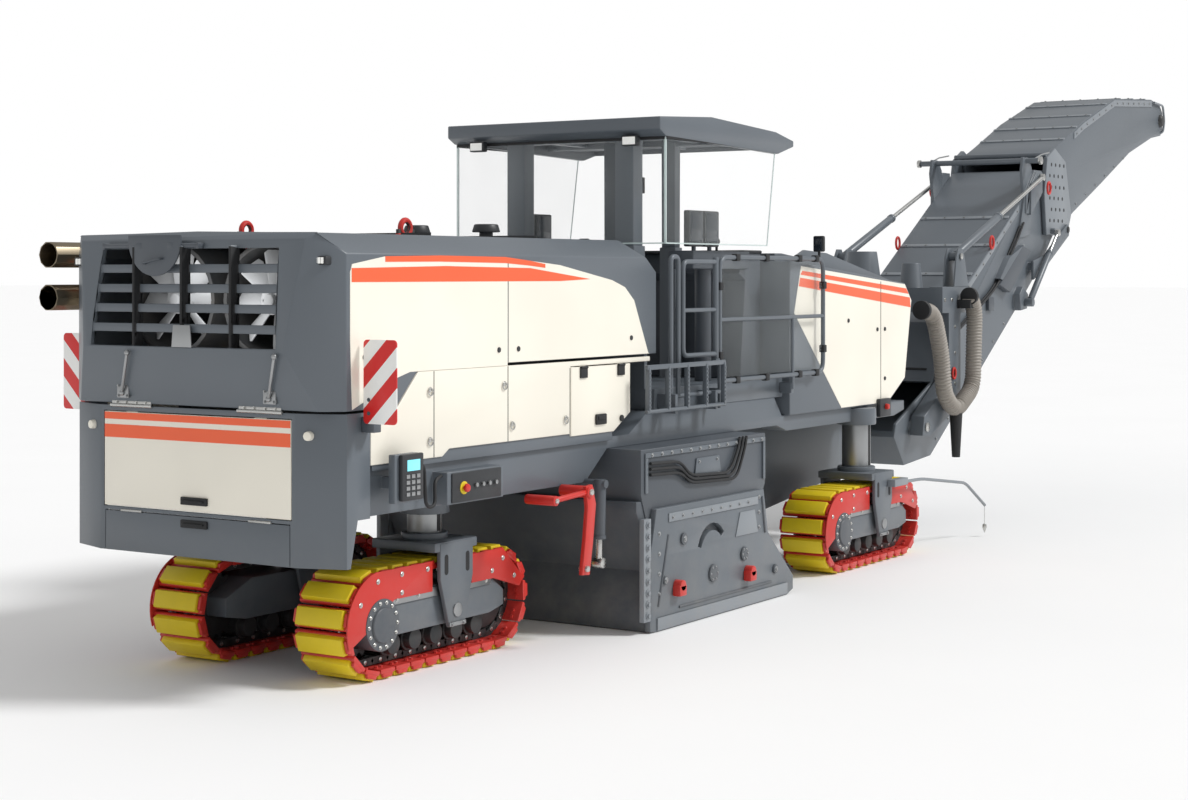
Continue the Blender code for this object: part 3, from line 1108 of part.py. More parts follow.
def cylinder_pair(base, eye, y, barrel_r, rod_r, barrel_long, overlap, retract, name):
    """Barrel and rod of a cylinder on each side of the conveyor."""
    length = math.dist(base, eye)
    for side, sign in SIDES:
        def bar(start, end, radius, sides):
            (ax, az), (bx, bz) = along(base, eye, start), along(base, eye, end)
            return rod((ax, sign * y, az), (bx, sign * y, bz), radius, sides=sides)

        def boss(centre, half, radius):
            return rod((centre[0], sign * y - half, centre[1]), (centre[0], sign * y + half, centre[1]),
                       radius, sides=20)

        barrel = bar(0.05, barrel_long, barrel_r, 20)
        weld(barrel, boss(base, BOSS_HALF, 0.052))
        cut(barrel, bar(barrel_long - overlap - retract - 0.01, barrel_long + 0.02, rod_r + ROD_CLEAR, 24))
        part(barrel, f"{name}_barrel_{side}", "grey_paint", (base[0], sign * y, base[1]))
        stem = bar(barrel_long - overlap, length - 0.03, rod_r, 16)
        weld(stem, boss(eye, EYE_HALF, 0.045))
        part(stem, f"{name}_rod_{side}", "bright_steel", (eye[0], sign * y, eye[1]))


# ---------------------------------------------------------------- the machine
def build():
    """Every piece, from the ground up and from the rear to the discharge end."""
    tracks()
    track_pointer()
    chassis()
    engine_block()
    rear_shell()
    rear_doors()
    cooler_pack()
    fans()
    engine_hood()
    exhaust_pipes()
    side_panels()
    marker_plates()
    drum_housing()
    milling_drum()
    edge_plates()
    scraper()
    primary_conveyor()
    platform()
    operator_console()
    railings()
    gates()
    steps()
    canopy()
    canopy_glass()
    front_bodywork()
    swivel_frame()
    vacuum_hose()
    lower_conveyor()
    upper_conveyor()
    cylinder_pair(LIFT_BASE, LIFT_EYE, LIFT_CYL_Y, 0.048, 0.026, 1.48, 0.60, 0.13, "lift")
    cylinder_pair(FOLD_BASE, FOLD_EYE, FOLD_CYL_Y, 0.040, 0.020, 0.98, 0.62, 0.0, "fold")


build()
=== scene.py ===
"""Finished looks of a cold planer milling machine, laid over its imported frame.

Places along the machine are stations: metres forward of the rear service door.
"""
import json
import logging
import math
from dataclasses import dataclass, field
from enum import Enum
from typing import Iterable, Optional, Sequence, Union

import bmesh
import bpy
from mathutils import Matrix, Vector

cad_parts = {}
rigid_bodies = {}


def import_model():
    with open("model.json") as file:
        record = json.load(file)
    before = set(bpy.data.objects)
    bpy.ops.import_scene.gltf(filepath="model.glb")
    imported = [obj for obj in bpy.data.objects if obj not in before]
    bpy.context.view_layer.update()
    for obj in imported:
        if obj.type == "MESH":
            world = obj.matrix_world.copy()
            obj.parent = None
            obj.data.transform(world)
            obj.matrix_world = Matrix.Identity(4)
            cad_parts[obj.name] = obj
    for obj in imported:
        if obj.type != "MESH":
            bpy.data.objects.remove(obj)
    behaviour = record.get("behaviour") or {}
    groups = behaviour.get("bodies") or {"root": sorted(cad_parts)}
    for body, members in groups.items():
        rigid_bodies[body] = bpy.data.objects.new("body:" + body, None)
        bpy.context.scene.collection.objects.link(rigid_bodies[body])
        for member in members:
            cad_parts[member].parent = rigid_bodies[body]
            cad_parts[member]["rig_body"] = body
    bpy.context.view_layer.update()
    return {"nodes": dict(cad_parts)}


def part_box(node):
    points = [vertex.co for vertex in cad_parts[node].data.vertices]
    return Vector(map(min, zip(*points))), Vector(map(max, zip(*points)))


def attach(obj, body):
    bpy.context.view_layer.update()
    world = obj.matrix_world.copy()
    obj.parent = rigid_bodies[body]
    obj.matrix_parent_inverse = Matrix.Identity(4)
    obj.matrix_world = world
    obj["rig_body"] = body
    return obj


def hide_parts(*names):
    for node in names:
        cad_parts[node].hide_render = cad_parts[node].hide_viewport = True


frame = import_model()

STATION_ZERO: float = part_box("rear_door")[0].x
LOG = logging.getLogger("cold_planer")

Point = Union[Sequence[float], Vector]
Number = Union[float, "Value"]


class Side(Enum):
    """The machine's two sides, by the sign of their Y."""

    RIGHT = -1
    LEFT = 1

    @property
    def word(self) -> str:
        """The side's name as the frame writes it."""
        return self.name.lower()


class Plane(Enum):
    """The plane that a flat outline is drawn in."""

    SIDE = "xz"
    CROSS = "yz"
    DECK = "xy"


# ------------------------------------------------------------------ shader tools
class Value:
    """A number socket that takes part in sums; each sum adds its Math node."""

    def __init__(self, shader: "Shader", socket: bpy.types.NodeSocket) -> None:
        """Wraps a socket.

        Args:
            shader: the material that the socket belongs to.
            socket: an output socket that carries a number.
        """
        self.shader = shader
        self.socket = socket

    def _math(self, operation: str, first: Number, second: Number) -> "Value":
        """One Math node on two numbers."""
        return self.shader.value("ShaderNodeMath", {"operation": operation}, {0: first, 1: second})

    def __add__(self, other: Number) -> "Value":
        """Self plus other."""
        return self._math("ADD", self, other)

    def __radd__(self, other: Number) -> "Value":
        """Other plus self."""
        return self._math("ADD", other, self)

    def __sub__(self, other: Number) -> "Value":
        """Self minus other."""
        return self._math("SUBTRACT", self, other)

    def __rsub__(self, other: Number) -> "Value":
        """Other minus self."""
        return self._math("SUBTRACT", other, self)

    def __mul__(self, other: Number) -> "Value":
        """Self times other."""
        return self._math("MULTIPLY", self, other)

    def __rmul__(self, other: Number) -> "Value":
        """Other times self."""
        return self._math("MULTIPLY", other, self)

    def __pow__(self, other: Number) -> "Value":
        """Self to a power."""
        return self._math("POWER", self, other)

    def __gt__(self, other: Number) -> "Value":
        """One where self is the greater."""
        return self._math("GREATER_THAN", self, other)

    def __lt__(self, other: Number) -> "Value":
        """One where self is the lesser."""
        return self._math("LESS_THAN", self, other)

    def wrapped(self, period: float) -> "Value":
        """Self folded into one period."""
        return self._math("FLOORED_MODULO", self, period)

    def held(self) -> "Value":
        """Self kept between nought and one."""
        node = self.shader.node("ShaderNodeMath", {"operation": "ADD", "use_clamp": True}, {0: self, 1: 0.0})
        return Value(self.shader, node.outputs[0])


class Shader:
    """A node material under construction round one Principled shader."""

    def __init__(self, name: str) -> None:
        """Starts a material.

        Args:
            name: the material's name.
        """
        self.material = bpy.data.materials.new(name)
        self.material.use_nodes = True
        self.tree = self.material.node_tree
        self.principled = self.tree.nodes["Principled BSDF"]

    def node(self, kind: str, settings: Optional[dict] = None, inputs: Optional[dict] = None) -> bpy.types.Node:
        """Adds a node.

        Args:
            kind: the node's type.
            settings: its properties, and "stops" for a ramp.
            inputs: values or links for its sockets, by name or number.

        Returns:
            The new node.
        """
        made = self.tree.nodes.new(kind)
        for key, setting in (settings or {}).items():
            if key == "stops":
                ramp = made.color_ramp
                while len(ramp.elements) < len(setting):
                    ramp.elements.new(0.5)
                for element, (position, shade) in zip(ramp.elements, setting):
                    element.position = position
                    element.color = (*shade, 1.0)
            else:
                setattr(made, key, setting)
        for key, entry in (inputs or {}).items():
            self.feed(made.inputs[key], entry)
        return made

    def feed(self, socket: bpy.types.NodeSocket, entry: object) -> None:
        """Links a value to a socket, or sets the socket to a constant.

        Args:
            socket: an input socket.
            entry: a value, an output socket or a constant.
        """
        if isinstance(entry, Value):
            self.tree.links.new(entry.socket, socket)
        elif isinstance(entry, bpy.types.NodeSocket):
            self.tree.links.new(entry, socket)
        else:
            socket.default_value = entry

    def value(self, kind: str, settings: Optional[dict] = None, inputs: Optional[dict] = None,
            output: Union[int, str] = 0) -> Value:
        """Adds a node and wraps one of its outputs."""
        return Value(self, self.node(kind, settings, inputs).outputs[output])

    def place(self) -> bpy.types.NodeSocket:
        """The Object coordinates, which are the machine's own metres."""
        return self.node("ShaderNodeTexCoord").outputs["Object"]

    def axes(self) -> tuple[Value, Value, Value]:
        """The X, Y and Z of the Object coordinates."""
        split = self.node("ShaderNodeSeparateXYZ", inputs={0: self.place()})
        return tuple((Value(self, split.outputs[i]) for i in range(3)))

    def noise(self, scale: float, detail: float = 3.0, roughness: float = 0.55,
            stretch: Sequence[float] = (1.0, 1.0, 1.0)) -> Value:
        """Noise over the object.

        Args:
            scale: cycles in a metre.
            detail: octaves.
            roughness: how strongly the fine octaves show.
            stretch: factors on the three axes.

        Returns:
            The noise, about one half on average.
        """
        mapped = self.node("ShaderNodeMapping", inputs={"Vector": self.place(), "Scale": tuple(stretch)})
        return self.value("ShaderNodeTexNoise", inputs={"Vector": mapped.outputs[0], "Scale": scale,
            "Detail": detail, "Roughness": roughness})

    def mixed(self, factor: Number, first: object, second: object) -> bpy.types.NodeSocket:
        """Mixes two colours.

        Args:
            factor: how much of the second.
            first: colour or link.
            second: colour or link.

        Returns:
            The mixed colour's socket.
        """
        made = self.node("ShaderNodeMix", {"data_type": "RGBA"}, {0: factor, 6: first, 7: second})
        return made.outputs[2]

    def bump(self, height: Value, strength: float, distance: float) -> None:
        """Feeds a Bump node to the shader's Normal."""
        made = self.node("ShaderNodeBump", inputs={"Height": height, "Strength": strength,
            "Distance": distance})
        self.tree.links.new(made.outputs[0], self.principled.inputs["Normal"])

    def set(self, **sockets: object) -> None:
        """Sets the shader's own sockets, with underscores for spaces."""
        for key, entry in sockets.items():
            self.feed(self.principled.inputs[key.replace("_", " ")], entry)


def shade(red: int, green: int, blue: int) -> tuple[float, float, float]:
    """A display colour as linear light.

    Args:
        red: 0 to 255.
        green: 0 to 255.
        blue: 0 to 255.

    Returns:
        The linear colour.
    """
    return tuple((c / 255 / 12.92 if c <= 10 else ((c / 255 + 0.055) / 1.055) ** 2.4
        for c in (red, green, blue)))


# ------------------------------------------------------------------ finishes
@dataclass(frozen=True)
class Finish:
    """A surface finish; each kind builds its own nodes once."""

    name: str
    colour: tuple[float, float, float]
    roughness: float
    slot: str

    def material(self) -> bpy.types.Material:
        """The finish's material, built the first time it is asked for."""
        found = bpy.data.materials.get(f"finish_{self.name}")
        if found is not None:
            return found
        shader = Shader(f"finish_{self.name}")
        self.dress(shader)
        return shader.material

    def dress(self, shader: Shader) -> None:
        """Builds the nodes.

        Args:
            shader: the material under construction.
        """
        raise NotImplementedError


@dataclass(frozen=True)
class Paint(Finish):
    """Sprayed machine paint with orange peel, a soft mottle and road dust low down."""

    dust: float = 0.3
    coat: float = 0.15

    def dress(self, shader: Shader) -> None:
        """Builds the nodes.

        Args:
            shader: the material under construction.
        """
        _, _, height = shader.axes()
        mottle = shader.noise(0.9, 2.0)
        grain = shader.noise(60.0, 2.0)
        low = ((1.25 - height) * 0.9).held()
        dust = (low * (shader.noise(5.0, 5.0, 0.65) - 0.3) * 2.0 * self.dust).held()
        light = tuple((min(1.0, c * 1.1 + 0.004) for c in self.colour))
        dark = tuple((c * 0.9 for c in self.colour))
        body = shader.mixed(mottle, (*dark, 1.0), (*light, 1.0))
        dusty = shader.mixed(dust, body, (*shade(150, 146, 138), 1.0))
        shader.set(Base_Color=dusty, Roughness=(dust * 0.35 + grain * 0.08 + (self.roughness - 0.04)).held(),
            Coat_Weight=self.coat, Coat_Roughness=0.25)
        shader.bump(shader.noise(260.0, 1.0), 0.05, 0.002)


@dataclass(frozen=True)
class Metal(Finish):
    """Machined or plated metal with fine drawn marks."""

    dark: float = 0.8

    def dress(self, shader: Shader) -> None:
        """Builds the nodes.

        Args:
            shader: the material under construction.
        """
        drawn = shader.noise(40.0, 3.0, 0.6, (1.0, 1.0, 9.0))
        stain = shader.noise(4.0, 4.0)
        deep = tuple((c * self.dark for c in self.colour))
        shader.set(Base_Color=shader.mixed(stain, (*deep, 1.0), (*self.colour, 1.0)), Metallic=1.0,
            Roughness=(drawn * 0.16 + (self.roughness - 0.08)).held())
        shader.bump(drawn, 0.04, 0.001)


@dataclass(frozen=True)
class Casting(Finish):
    """Oiled dark steel of chains, rollers and castings."""

    metallic: float = 0.55

    def dress(self, shader: Shader) -> None:
        """Builds the nodes.

        Args:
            shader: the material under construction.
        """
        rough = shader.noise(24.0, 5.0, 0.6)
        grime = (shader.noise(6.0, 5.0, 0.7) * 2.2 - 0.8).held()
        brown = shade(96, 88, 78)
        shader.set(Base_Color=shader.mixed(grime * 0.35, (*self.colour, 1.0), (*brown, 1.0)),
            Metallic=self.metallic, Roughness=(rough * 0.25 + (self.roughness - 0.12)).held())
        shader.bump(rough, 0.25, 0.004)


@dataclass(frozen=True)
class Moulded(Finish):
    """Moulded rubber or plastic with scuffs."""

    scuff: float = 0.25

    def dress(self, shader: Shader) -> None:
        """Builds the nodes.

        Args:
            shader: the material under construction.
        """
        scuffs = (shader.noise(9.0, 6.0, 0.7) * 3.0 - 1.3).held()
        pale = tuple((c * 0.7 + 0.05 for c in self.colour))
        shader.set(Base_Color=shader.mixed(scuffs * self.scuff, (*self.colour, 1.0), (*pale, 1.0)),
            Roughness=(scuffs * 0.15 + self.roughness).held())
        shader.bump(shader.noise(90.0, 3.0), 0.12, 0.002)


@dataclass(frozen=True)
class Glass(Finish):
    """Thin clear sheet."""

    alpha: float = 0.1

    def dress(self, shader: Shader) -> None:
        """Builds the nodes.

        Args:
            shader: the material under construction.
        """
        haze = shader.noise(2.0, 3.0)
        shader.set(Base_Color=(*self.colour, 1.0), Roughness=(haze * 0.04 + self.roughness).held(),
            Alpha=(haze * 0.05 + (self.alpha - 0.025)).held(), Specular_IOR_Level=0.5)


@dataclass(frozen=True)
class Glow(Finish):
    """A lit screen or lamp lens."""

    power: float = 1.0

    def dress(self, shader: Shader) -> None:
        """Builds the nodes.

        Args:
            shader: the material under construction.
        """
        cells = shader.noise(220.0, 1.0)
        tint = shader.mixed(cells, (*[c * 0.8 for c in self.colour], 1.0), (*self.colour, 1.0))
        shader.set(Base_Color=tint, Emission_Color=tint, Emission_Strength=self.power, Roughness=self.roughness)


@dataclass(frozen=True)
class Hazard(Finish):
    """Reflective sheet with slanting red and white bands."""

    band: float = 0.135

    def dress(self, shader: Shader) -> None:
        """Builds the nodes.

        Args:
            shader: the material under construction.
        """
        _, across, height = shader.axes()
        mirrored = shader.value("ShaderNodeMath", {"operation": "ABSOLUTE"}, {0: across})
        red = (height - mirrored * 1.0).wrapped(self.band * 2) < self.band
        cells = shader.noise(400.0, 1.0)
        white = shader.mixed(cells, (*shade(235, 235, 232), 1.0), (*shade(250, 250, 248), 1.0))
        deep = shader.mixed(cells, (*self.colour, 1.0), (*[c * 0.85 for c in self.colour], 1.0))
        shader.set(Base_Color=shader.mixed(red, white, deep), Roughness=self.roughness)
        shader.bump(cells, 0.05, 0.001)


@dataclass(frozen=True)
class Core(Finish):
    """Radiator core: fine upright fins between tubes, with painted shade darkening the colour off the fin
    ridges.
    """

    pitch: float = 0.012

    def dress(self, shader: Shader) -> None:
        """Builds the nodes.

        Args:
            shader: the material under construction.
        """
        _, across, height = shader.axes()
        fin = across.wrapped(self.pitch) * (1.0 / self.pitch)
        tube = height.wrapped(0.04) < 0.008
        ridge = (fin > 0.5) * (1.0 - tube)
        # painted shade: off the fin ridges, between the fins and along the tube rows, the colour is darkened to
        # 0.4 as the shade in the core's recesses
        shader.set(Base_Color=shader.mixed(ridge, (*[c * 0.4 for c in self.colour], 1.0), (*self.colour, 1.0)),
            Roughness=(ridge * 0.2 + self.roughness).held(), Metallic=0.5)
        shader.bump(ridge, 0.5, 0.003)
SLATE = Paint("slate", shade(94, 101, 108), 0.42, "grey_paint")
SLATE_DARK = Paint("slate_dark", shade(74, 80, 87), 0.48, "grey_paint")
SLATE_LIGHT = Paint("slate_light", shade(128, 134, 140), 0.42, "grey_paint")
CREAM = Paint("cream", shade(240, 235, 221), 0.36, "cream_paint", dust=0.12)
ORANGE = Paint("orange", shade(240, 96, 48), 0.36, "marker_sheet", dust=0.1)
RED = Paint("red_lacquer", shade(200, 36, 26), 0.38, "marker_sheet", dust=0.14)
YELLOW = Moulded("yellow_pad", shade(226, 200, 22), 0.5, "yellow_pads")
BLACK = Moulded("black_rubber", shade(30, 31, 33), 0.6, "dark_steel", scuff=0.1)
PLASTIC = Moulded("black_plastic", shade(44, 46, 49), 0.45, "dark_steel", scuff=0.08)
HOSE = Moulded("pale_hose", shade(150, 144, 136), 0.55, "ribbed_hose")
STEEL = Metal("bright_steel", shade(205, 205, 202), 0.28, "bright_steel")
SATIN = Metal("satin_steel", shade(172, 174, 175), 0.42, "bright_steel")
BURNT = Metal("burnt_steel", shade(150, 138, 118), 0.35, "bright_steel", dark=0.55)
CHAIN = Casting("chain_steel", shade(66, 68, 70), 0.48, "dark_steel")
ENGINE = Casting("engine_casting", shade(58, 60, 62), 0.55, "dark_steel", metallic=0.3)
FINS = Core("cooler_core", shade(70, 72, 74), 0.5, "dark_steel")
CLEAR = Glass("clear_sheet", shade(236, 242, 242), 0.03, "clear_glass", alpha=0.045)
EDGE = Glass("sheet_edge", shade(225, 240, 238), 0.15, "clear_glass", alpha=0.65)
SILVER = Paint("silver_vanes", shade(196, 198, 200), 0.34, "bright_steel", dust=0.05, coat=0.4)
DISPLAY = Glow("display_glass", shade(26, 32, 40), 0.12, "clear_glass", power=0.25)
SCREEN = Glow("screen", shade(120, 206, 220), 0.25, "clear_glass", power=0.8)
LENS = Glow("lamp_lens", shade(244, 244, 240), 0.15, "clear_glass", power=0.25)
MARKER = Hazard("marker_sheet", shade(222, 40, 38), 0.35, "marker_sheet")


# ------------------------------------------------------------------ modelling tools
def heading(axis: Point) -> Matrix:
    """The turn that lays a shape's own Z along an axis."""
    return Vector((0.0, 0.0, 1.0)).rotation_difference(Vector(axis)).to_matrix().to_4x4()


def rounded(corners: Sequence[Point], radius: float, steps: int = 4) -> list[Vector]:
    """A path whose inner corners are eased.

    Args:
        corners: the path's corners.
        radius: how far from a corner the curve starts.
        steps: pieces in each curve.

    Returns:
        The eased path.
    """
    path = [Vector(corners[0])]
    for before, here, after in zip(corners, corners[1:], corners[2:]):
        before, here, after = (Vector(before), Vector(here), Vector(after))
        enter = here + (before - here).normalized() * min(radius, (before - here).length / 2)
        leave = here + (after - here).normalized() * min(radius, (after - here).length / 2)
        for step in range(steps + 1):
            t = step / steps
            path.append(enter.lerp(here, t).lerp(here.lerp(leave, t), t))
    path.append(Vector(corners[-1]))
    return path


def arc(centre: Sequence[float], radius: float, start: float, end: float,
        steps: int) -> list[tuple[float, float]]:
    """Points along an arc in a plane, with its angles in degrees."""
    turn = [math.radians(start + (end - start) * i / steps) for i in range(steps + 1)]
    return [(centre[0] + radius * math.cos(a), centre[1] + radius * math.sin(a)) for a in turn]


def about(middle: float, half: float) -> tuple[float, float]:
    """The two places a half-width either side of a middle."""
    return (middle - half, middle + half)


def circle(centre: Point, radius: float, count: int, plane: Plane = Plane.SIDE, tall: Optional[float] = None,
        closed: bool = False) -> list[Point]:
    """Places round a circle, or round an oval where its height differs.

    Args:
        centre: the middle, in metres.
        radius: its radius along the plane's first axis.
        count: how many places.
        plane: the plane that it lies in, which is SIDE or CROSS.
        tall: its radius along Z, where that isn't the same.
        closed: whether the first place comes again at the end.

    Returns:
        The places, in order.
    """
    spots = []
    for i in range(count + closed):
        turn = math.tau * i / count
        u, v = (radius * math.cos(turn), (radius if tall is None else tall) * math.sin(turn))
        x, y, z = centre
        spots.append((x + u, y, z + v) if plane is Plane.SIDE else (x, y + u, z + v))
    return spots


class Shape:
    """A mesh under construction in station metres."""

    def __init__(self) -> None:
        """Starts an empty mesh."""
        self.bm = bmesh.new()

    def _bevelled(self, faces: Iterable[bmesh.types.BMFace], width: float, segments: int, sharp: float) -> None:
        """Bevels the sharp edges of some faces.

        Args:
            faces: the faces whose edges are looked at.
            width: width of the eased edge, or nought for none.
            segments: steps across the eased edge.
            sharp: the least angle, in radians, that is eased.
        """
        if width <= 0:
            return
        found = {e for f in faces for e in f.edges if len(e.link_faces) == 2 and e.calc_face_angle() > sharp}
        self.bm.edges.index_update()
        edges = sorted(found, key=lambda e: e.index)
        bmesh.ops.bevel(self.bm, geom=edges, offset=width, offset_type="OFFSET", segments=segments, profile=0.5,
            affect="EDGES", clamp_overlap=True, material=-1)

    def block(self, x: Point, y: Point, z: Point, bevel: float = 0.0, segments: int = 2) -> "Shape":
        """Adds a block between two places on each axis.

        Args:
            x: its two places along the machine, in either order.
            y: its two places across the machine.
            z: its two heights.
            bevel: width of the eased edges.
            segments: steps across an eased edge.

        Returns:
            The shape itself.
        """
        size = [abs(pair[1] - pair[0]) for pair in (x, y, z)]
        middle = [(pair[0] + pair[1]) / 2 for pair in (x, y, z)]
        made = bmesh.ops.create_cube(self.bm, size=1.0, matrix=Matrix.Translation(middle) @ Matrix.Diagonal(
            (*size, 1.0)))
        self._bevelled({f for v in made["verts"] for f in v.link_faces}, bevel, segments, 0.5)
        return self

    def bar(self, start: Point, end: Point, radius: float, tip: Optional[float] = None, sides: int = 24,
            bevel: float = 0.0) -> "Shape":
        """Adds a round bar, or a cone where the tip's radius differs.

        Args:
            start: the middle of one end.
            end: the middle of the other end.
            radius: radius at the start.
            tip: radius at the end, where it isn't the same.
            sides: facets round it.
            bevel: width of the eased rims.

        Returns:
            The shape itself.
        """
        start, end = (Vector(start), Vector(end))
        place = Matrix.Translation((start + end) / 2) @ heading(end - start)
        made = bmesh.ops.create_cone(self.bm, cap_ends=True, segments=sides, radius1=radius, radius2=radius
            if tip is None else tip, depth=(end - start).length, matrix=place)
        self._bevelled({f for v in made["verts"] for f in v.link_faces if len(f.verts) > 4 or sides < 8}, bevel,
            2, 0.6)
        return self

    def ball(self, centre: Point, radius: float) -> "Shape":
        """Adds a ball.

        Args:
            centre: its middle.
            radius: its radius.

        Returns:
            The shape itself.
        """
        place = Matrix.Translation(Vector(centre))
        bmesh.ops.create_uvsphere(self.bm, u_segments=20, v_segments=10, radius=radius, matrix=place)
        return self

    def plate(self, points: Sequence[Sequence[float]], low: float, high: float, plane: Plane = Plane.SIDE,
            bevel: float = 0.0, segments: int = 2) -> "Shape":
        """Adds a flat outline, thick between two places on its third axis.

        Args:
            points: the outline's corners.
            low: one face's place.
            high: the other face's place.
            plane: the plane that the outline lies in.
            bevel: width of the eased edge.
            segments: steps across the eased edge.

        Returns:
            The shape itself.
        """
        spots = {Plane.SIDE: lambda u, v: (u, low, v), Plane.CROSS: lambda u, v: (low, u, v),
            Plane.DECK: lambda u, v: (u, v, low)}[plane]
        push = {Plane.SIDE: (0, 1, 0), Plane.CROSS: (1, 0, 0), Plane.DECK: (0, 0, 1)}[plane]
        face = self.bm.faces.new([self.bm.verts.new(spots(u, v)) for u, v in points])
        grown = bmesh.ops.extrude_face_region(self.bm, geom=[face])["geom"]
        verts = [g for g in grown if isinstance(g, bmesh.types.BMVert)]
        bmesh.ops.translate(self.bm, verts=verts, vec=Vector(push) * (high - low))
        solid = {face} | {f for v in verts for f in v.link_faces}
        bmesh.ops.recalc_face_normals(self.bm, faces=list(solid))
        self._bevelled(solid, bevel, segments, 0.4)
        return self

    def sweep(self, path: Sequence[Point], radius: float, sides: int = 12,
            swell: Optional[Sequence[float]] = None) -> "Shape":
        """Adds a bent bar or hose along a path.

        Args:
            path: the points it follows.
            radius: its radius.
            sides: facets round it.
            swell: a factor on the radius at each point, for ribs.

        Returns:
            The shape itself.
        """
        spots = [Vector(p) for p in path]
        ways = [(b - a).normalized() for a, b in zip(spots, spots[1:])]
        tangents = [ways[0]] + [(a + b).normalized() for a, b in zip(ways, ways[1:])] + [ways[-1]]
        turn = heading(tangents[0])
        frames = []
        for i, (spot, tangent) in enumerate(zip(spots, tangents)):
            if i:
                turn = tangents[i - 1].rotation_difference(tangent).to_matrix().to_4x4() @ turn
            grow = swell[i] if swell else 1.0
            frames.append(Matrix.Translation(spot) @ turn @ Matrix.Diagonal((grow, grow, grow, 1.0)))
        ring = bmesh.ops.create_circle(self.bm, cap_ends=True, segments=sides, radius=radius, matrix=frames[0])
        edges = list(dict.fromkeys((e for v in ring["verts"] for e in v.link_edges)))
        faces = set(ring["verts"][0].link_faces)
        for here, there in zip(frames, frames[1:]):
            grown = bmesh.ops.extrude_edge_only(self.bm, edges=edges)["geom"]
            verts = [g for g in grown if isinstance(g, bmesh.types.BMVert)]
            edges = [g for g in grown if isinstance(g, bmesh.types.BMEdge)
                and all((v in verts for v in g.verts))]
            bmesh.ops.transform(self.bm, matrix=there @ here.inverted(), verts=verts)
            faces |= {f for v in verts for f in v.link_faces}
        end = bmesh.ops.edgeloop_fill(self.bm, edges=edges)["faces"]
        bmesh.ops.recalc_face_normals(self.bm, faces=list(faces | set(end)))
        return self

    def hose(self, path: Sequence[Point], radius: float, pitch: float, depth: float = 0.12,
            sides: int = 20) -> "Shape":
        """Adds a hose with ribs along its path.

        Args:
            path: the points it follows.
            radius: radius over the ribs.
            pitch: distance from rib to rib.
            depth: depth of the dips, as a share of the radius.
            sides: facets round it.

        Returns:
            The shape itself.
        """
        spots, ribs = ([], [])
        for a, b in zip(path, path[1:]):
            a, b = (Vector(a), Vector(b))
            count = max(2, round((b - a).length / (pitch / 4)))
            spots += [a.lerp(b, i / count) for i in range(count)]
        spots.append(Vector(path[-1]))
        run = 0.0
        for i, spot in enumerate(spots):
            run += (spot - spots[i - 1]).length if i else 0.0
            ribs.append(1.0 - depth * 0.5 * (1.0 - math.cos(math.tau * run / pitch)))
        return self.sweep(spots, radius, sides, ribs)

    def bolt(self, spot: Point, axis: Point, radius: float = 0.012, height: float = 0.01) -> "Shape":
        """Adds a hexagon bolt head on a washer.

        Args:
            spot: where the head stands.
            axis: the way it points.
            radius: radius of the head.
            height: height of the head.

        Returns:
            The shape itself.
        """
        spot, axis = (Vector(spot), Vector(axis).normalized())
        self.bar(spot - axis * 0.002, spot + axis * height * 0.3, radius * 1.5, sides=12)
        return self.bar(spot, spot + axis * height, radius, radius * 0.9, sides=6)

    def bolts(self, spots: Iterable[Point], axis: Point, radius: float = 0.012,
            height: float = 0.01) -> "Shape":
        """Adds a bolt head at each spot.

        Args:
            spots: where the heads stand.
            axis: the way they point.
            radius: radius of a head.
            height: height of a head.

        Returns:
            The shape itself.
        """
        for spot in spots:
            self.bolt(spot, axis, radius, height)
        return self

    def stamp(self, other: "Shape", places: Iterable[Matrix]) -> "Shape":
        """Adds a copy of another shape at each place.

        Args:
            other: the shape to copy.
            places: where the copies stand.

        Returns:
            The shape itself.
        """
        for place in places:
            mesh = bpy.data.meshes.new("stamp")
            other.bm.to_mesh(mesh)
            mesh.transform(place)
            self.bm.from_mesh(mesh)
            bpy.data.meshes.remove(mesh)
        return self

    def piece(self, name: str, finish: Finish, body: str = "machine", replaces: Sequence[str] = (),
            smooth: float = 35.0) -> bpy.types.Object:
        """Makes the shape a piece of the machine.

        Args:
            name: the piece's name.
            finish: its finish.
            body: the body that it rides on.
            replaces: CAD nodes that it stands for.
            smooth: faces that meet under this angle, in degrees, shade as one.

        Returns:
            The new object.
        """
        bmesh.ops.translate(self.bm, verts=self.bm.verts, vec=(STATION_ZERO, 0.0, 0.0))
        mesh = bpy.data.meshes.new(name)
        self.bm.to_mesh(mesh)
        self.bm.free()
        return settle(mesh, name, finish, body, replaces, smooth)


def settle(mesh: bpy.types.Mesh, name: str, finish: Finish, body: str, replaces: Sequence[str] = (),
        smooth: float = 35.0) -> bpy.types.Object:
    """Links a finished mesh as a piece on its body.

    Args:
        mesh: the mesh, in the frame's metres.
        name: the piece's name.
        finish: its finish.
        body: the body that it rides on.
        replaces: CAD nodes that it stands for.
        smooth: faces that meet under this angle, in degrees, shade as one.

    Returns:
        The new object.
    """
    mesh.shade_smooth()
    mesh.set_sharp_from_angle(angle=math.radians(smooth))
    mesh.materials.append(finish.material())
    made = bpy.data.objects.new(name, mesh)
    bpy.context.scene.collection.objects.link(made)
    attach(made, body)
    if replaces:
        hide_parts(*replaces)
    LOG.info("%s: %d faces on %s", name, len(mesh.polygons), body)
    return made


def covered(mesh: bpy.types.Mesh) -> float:
    """A mesh's area as it is drawn, triangle by triangle."""
    mesh.calc_loop_triangles()
    return sum(t.area for t in mesh.loop_triangles)


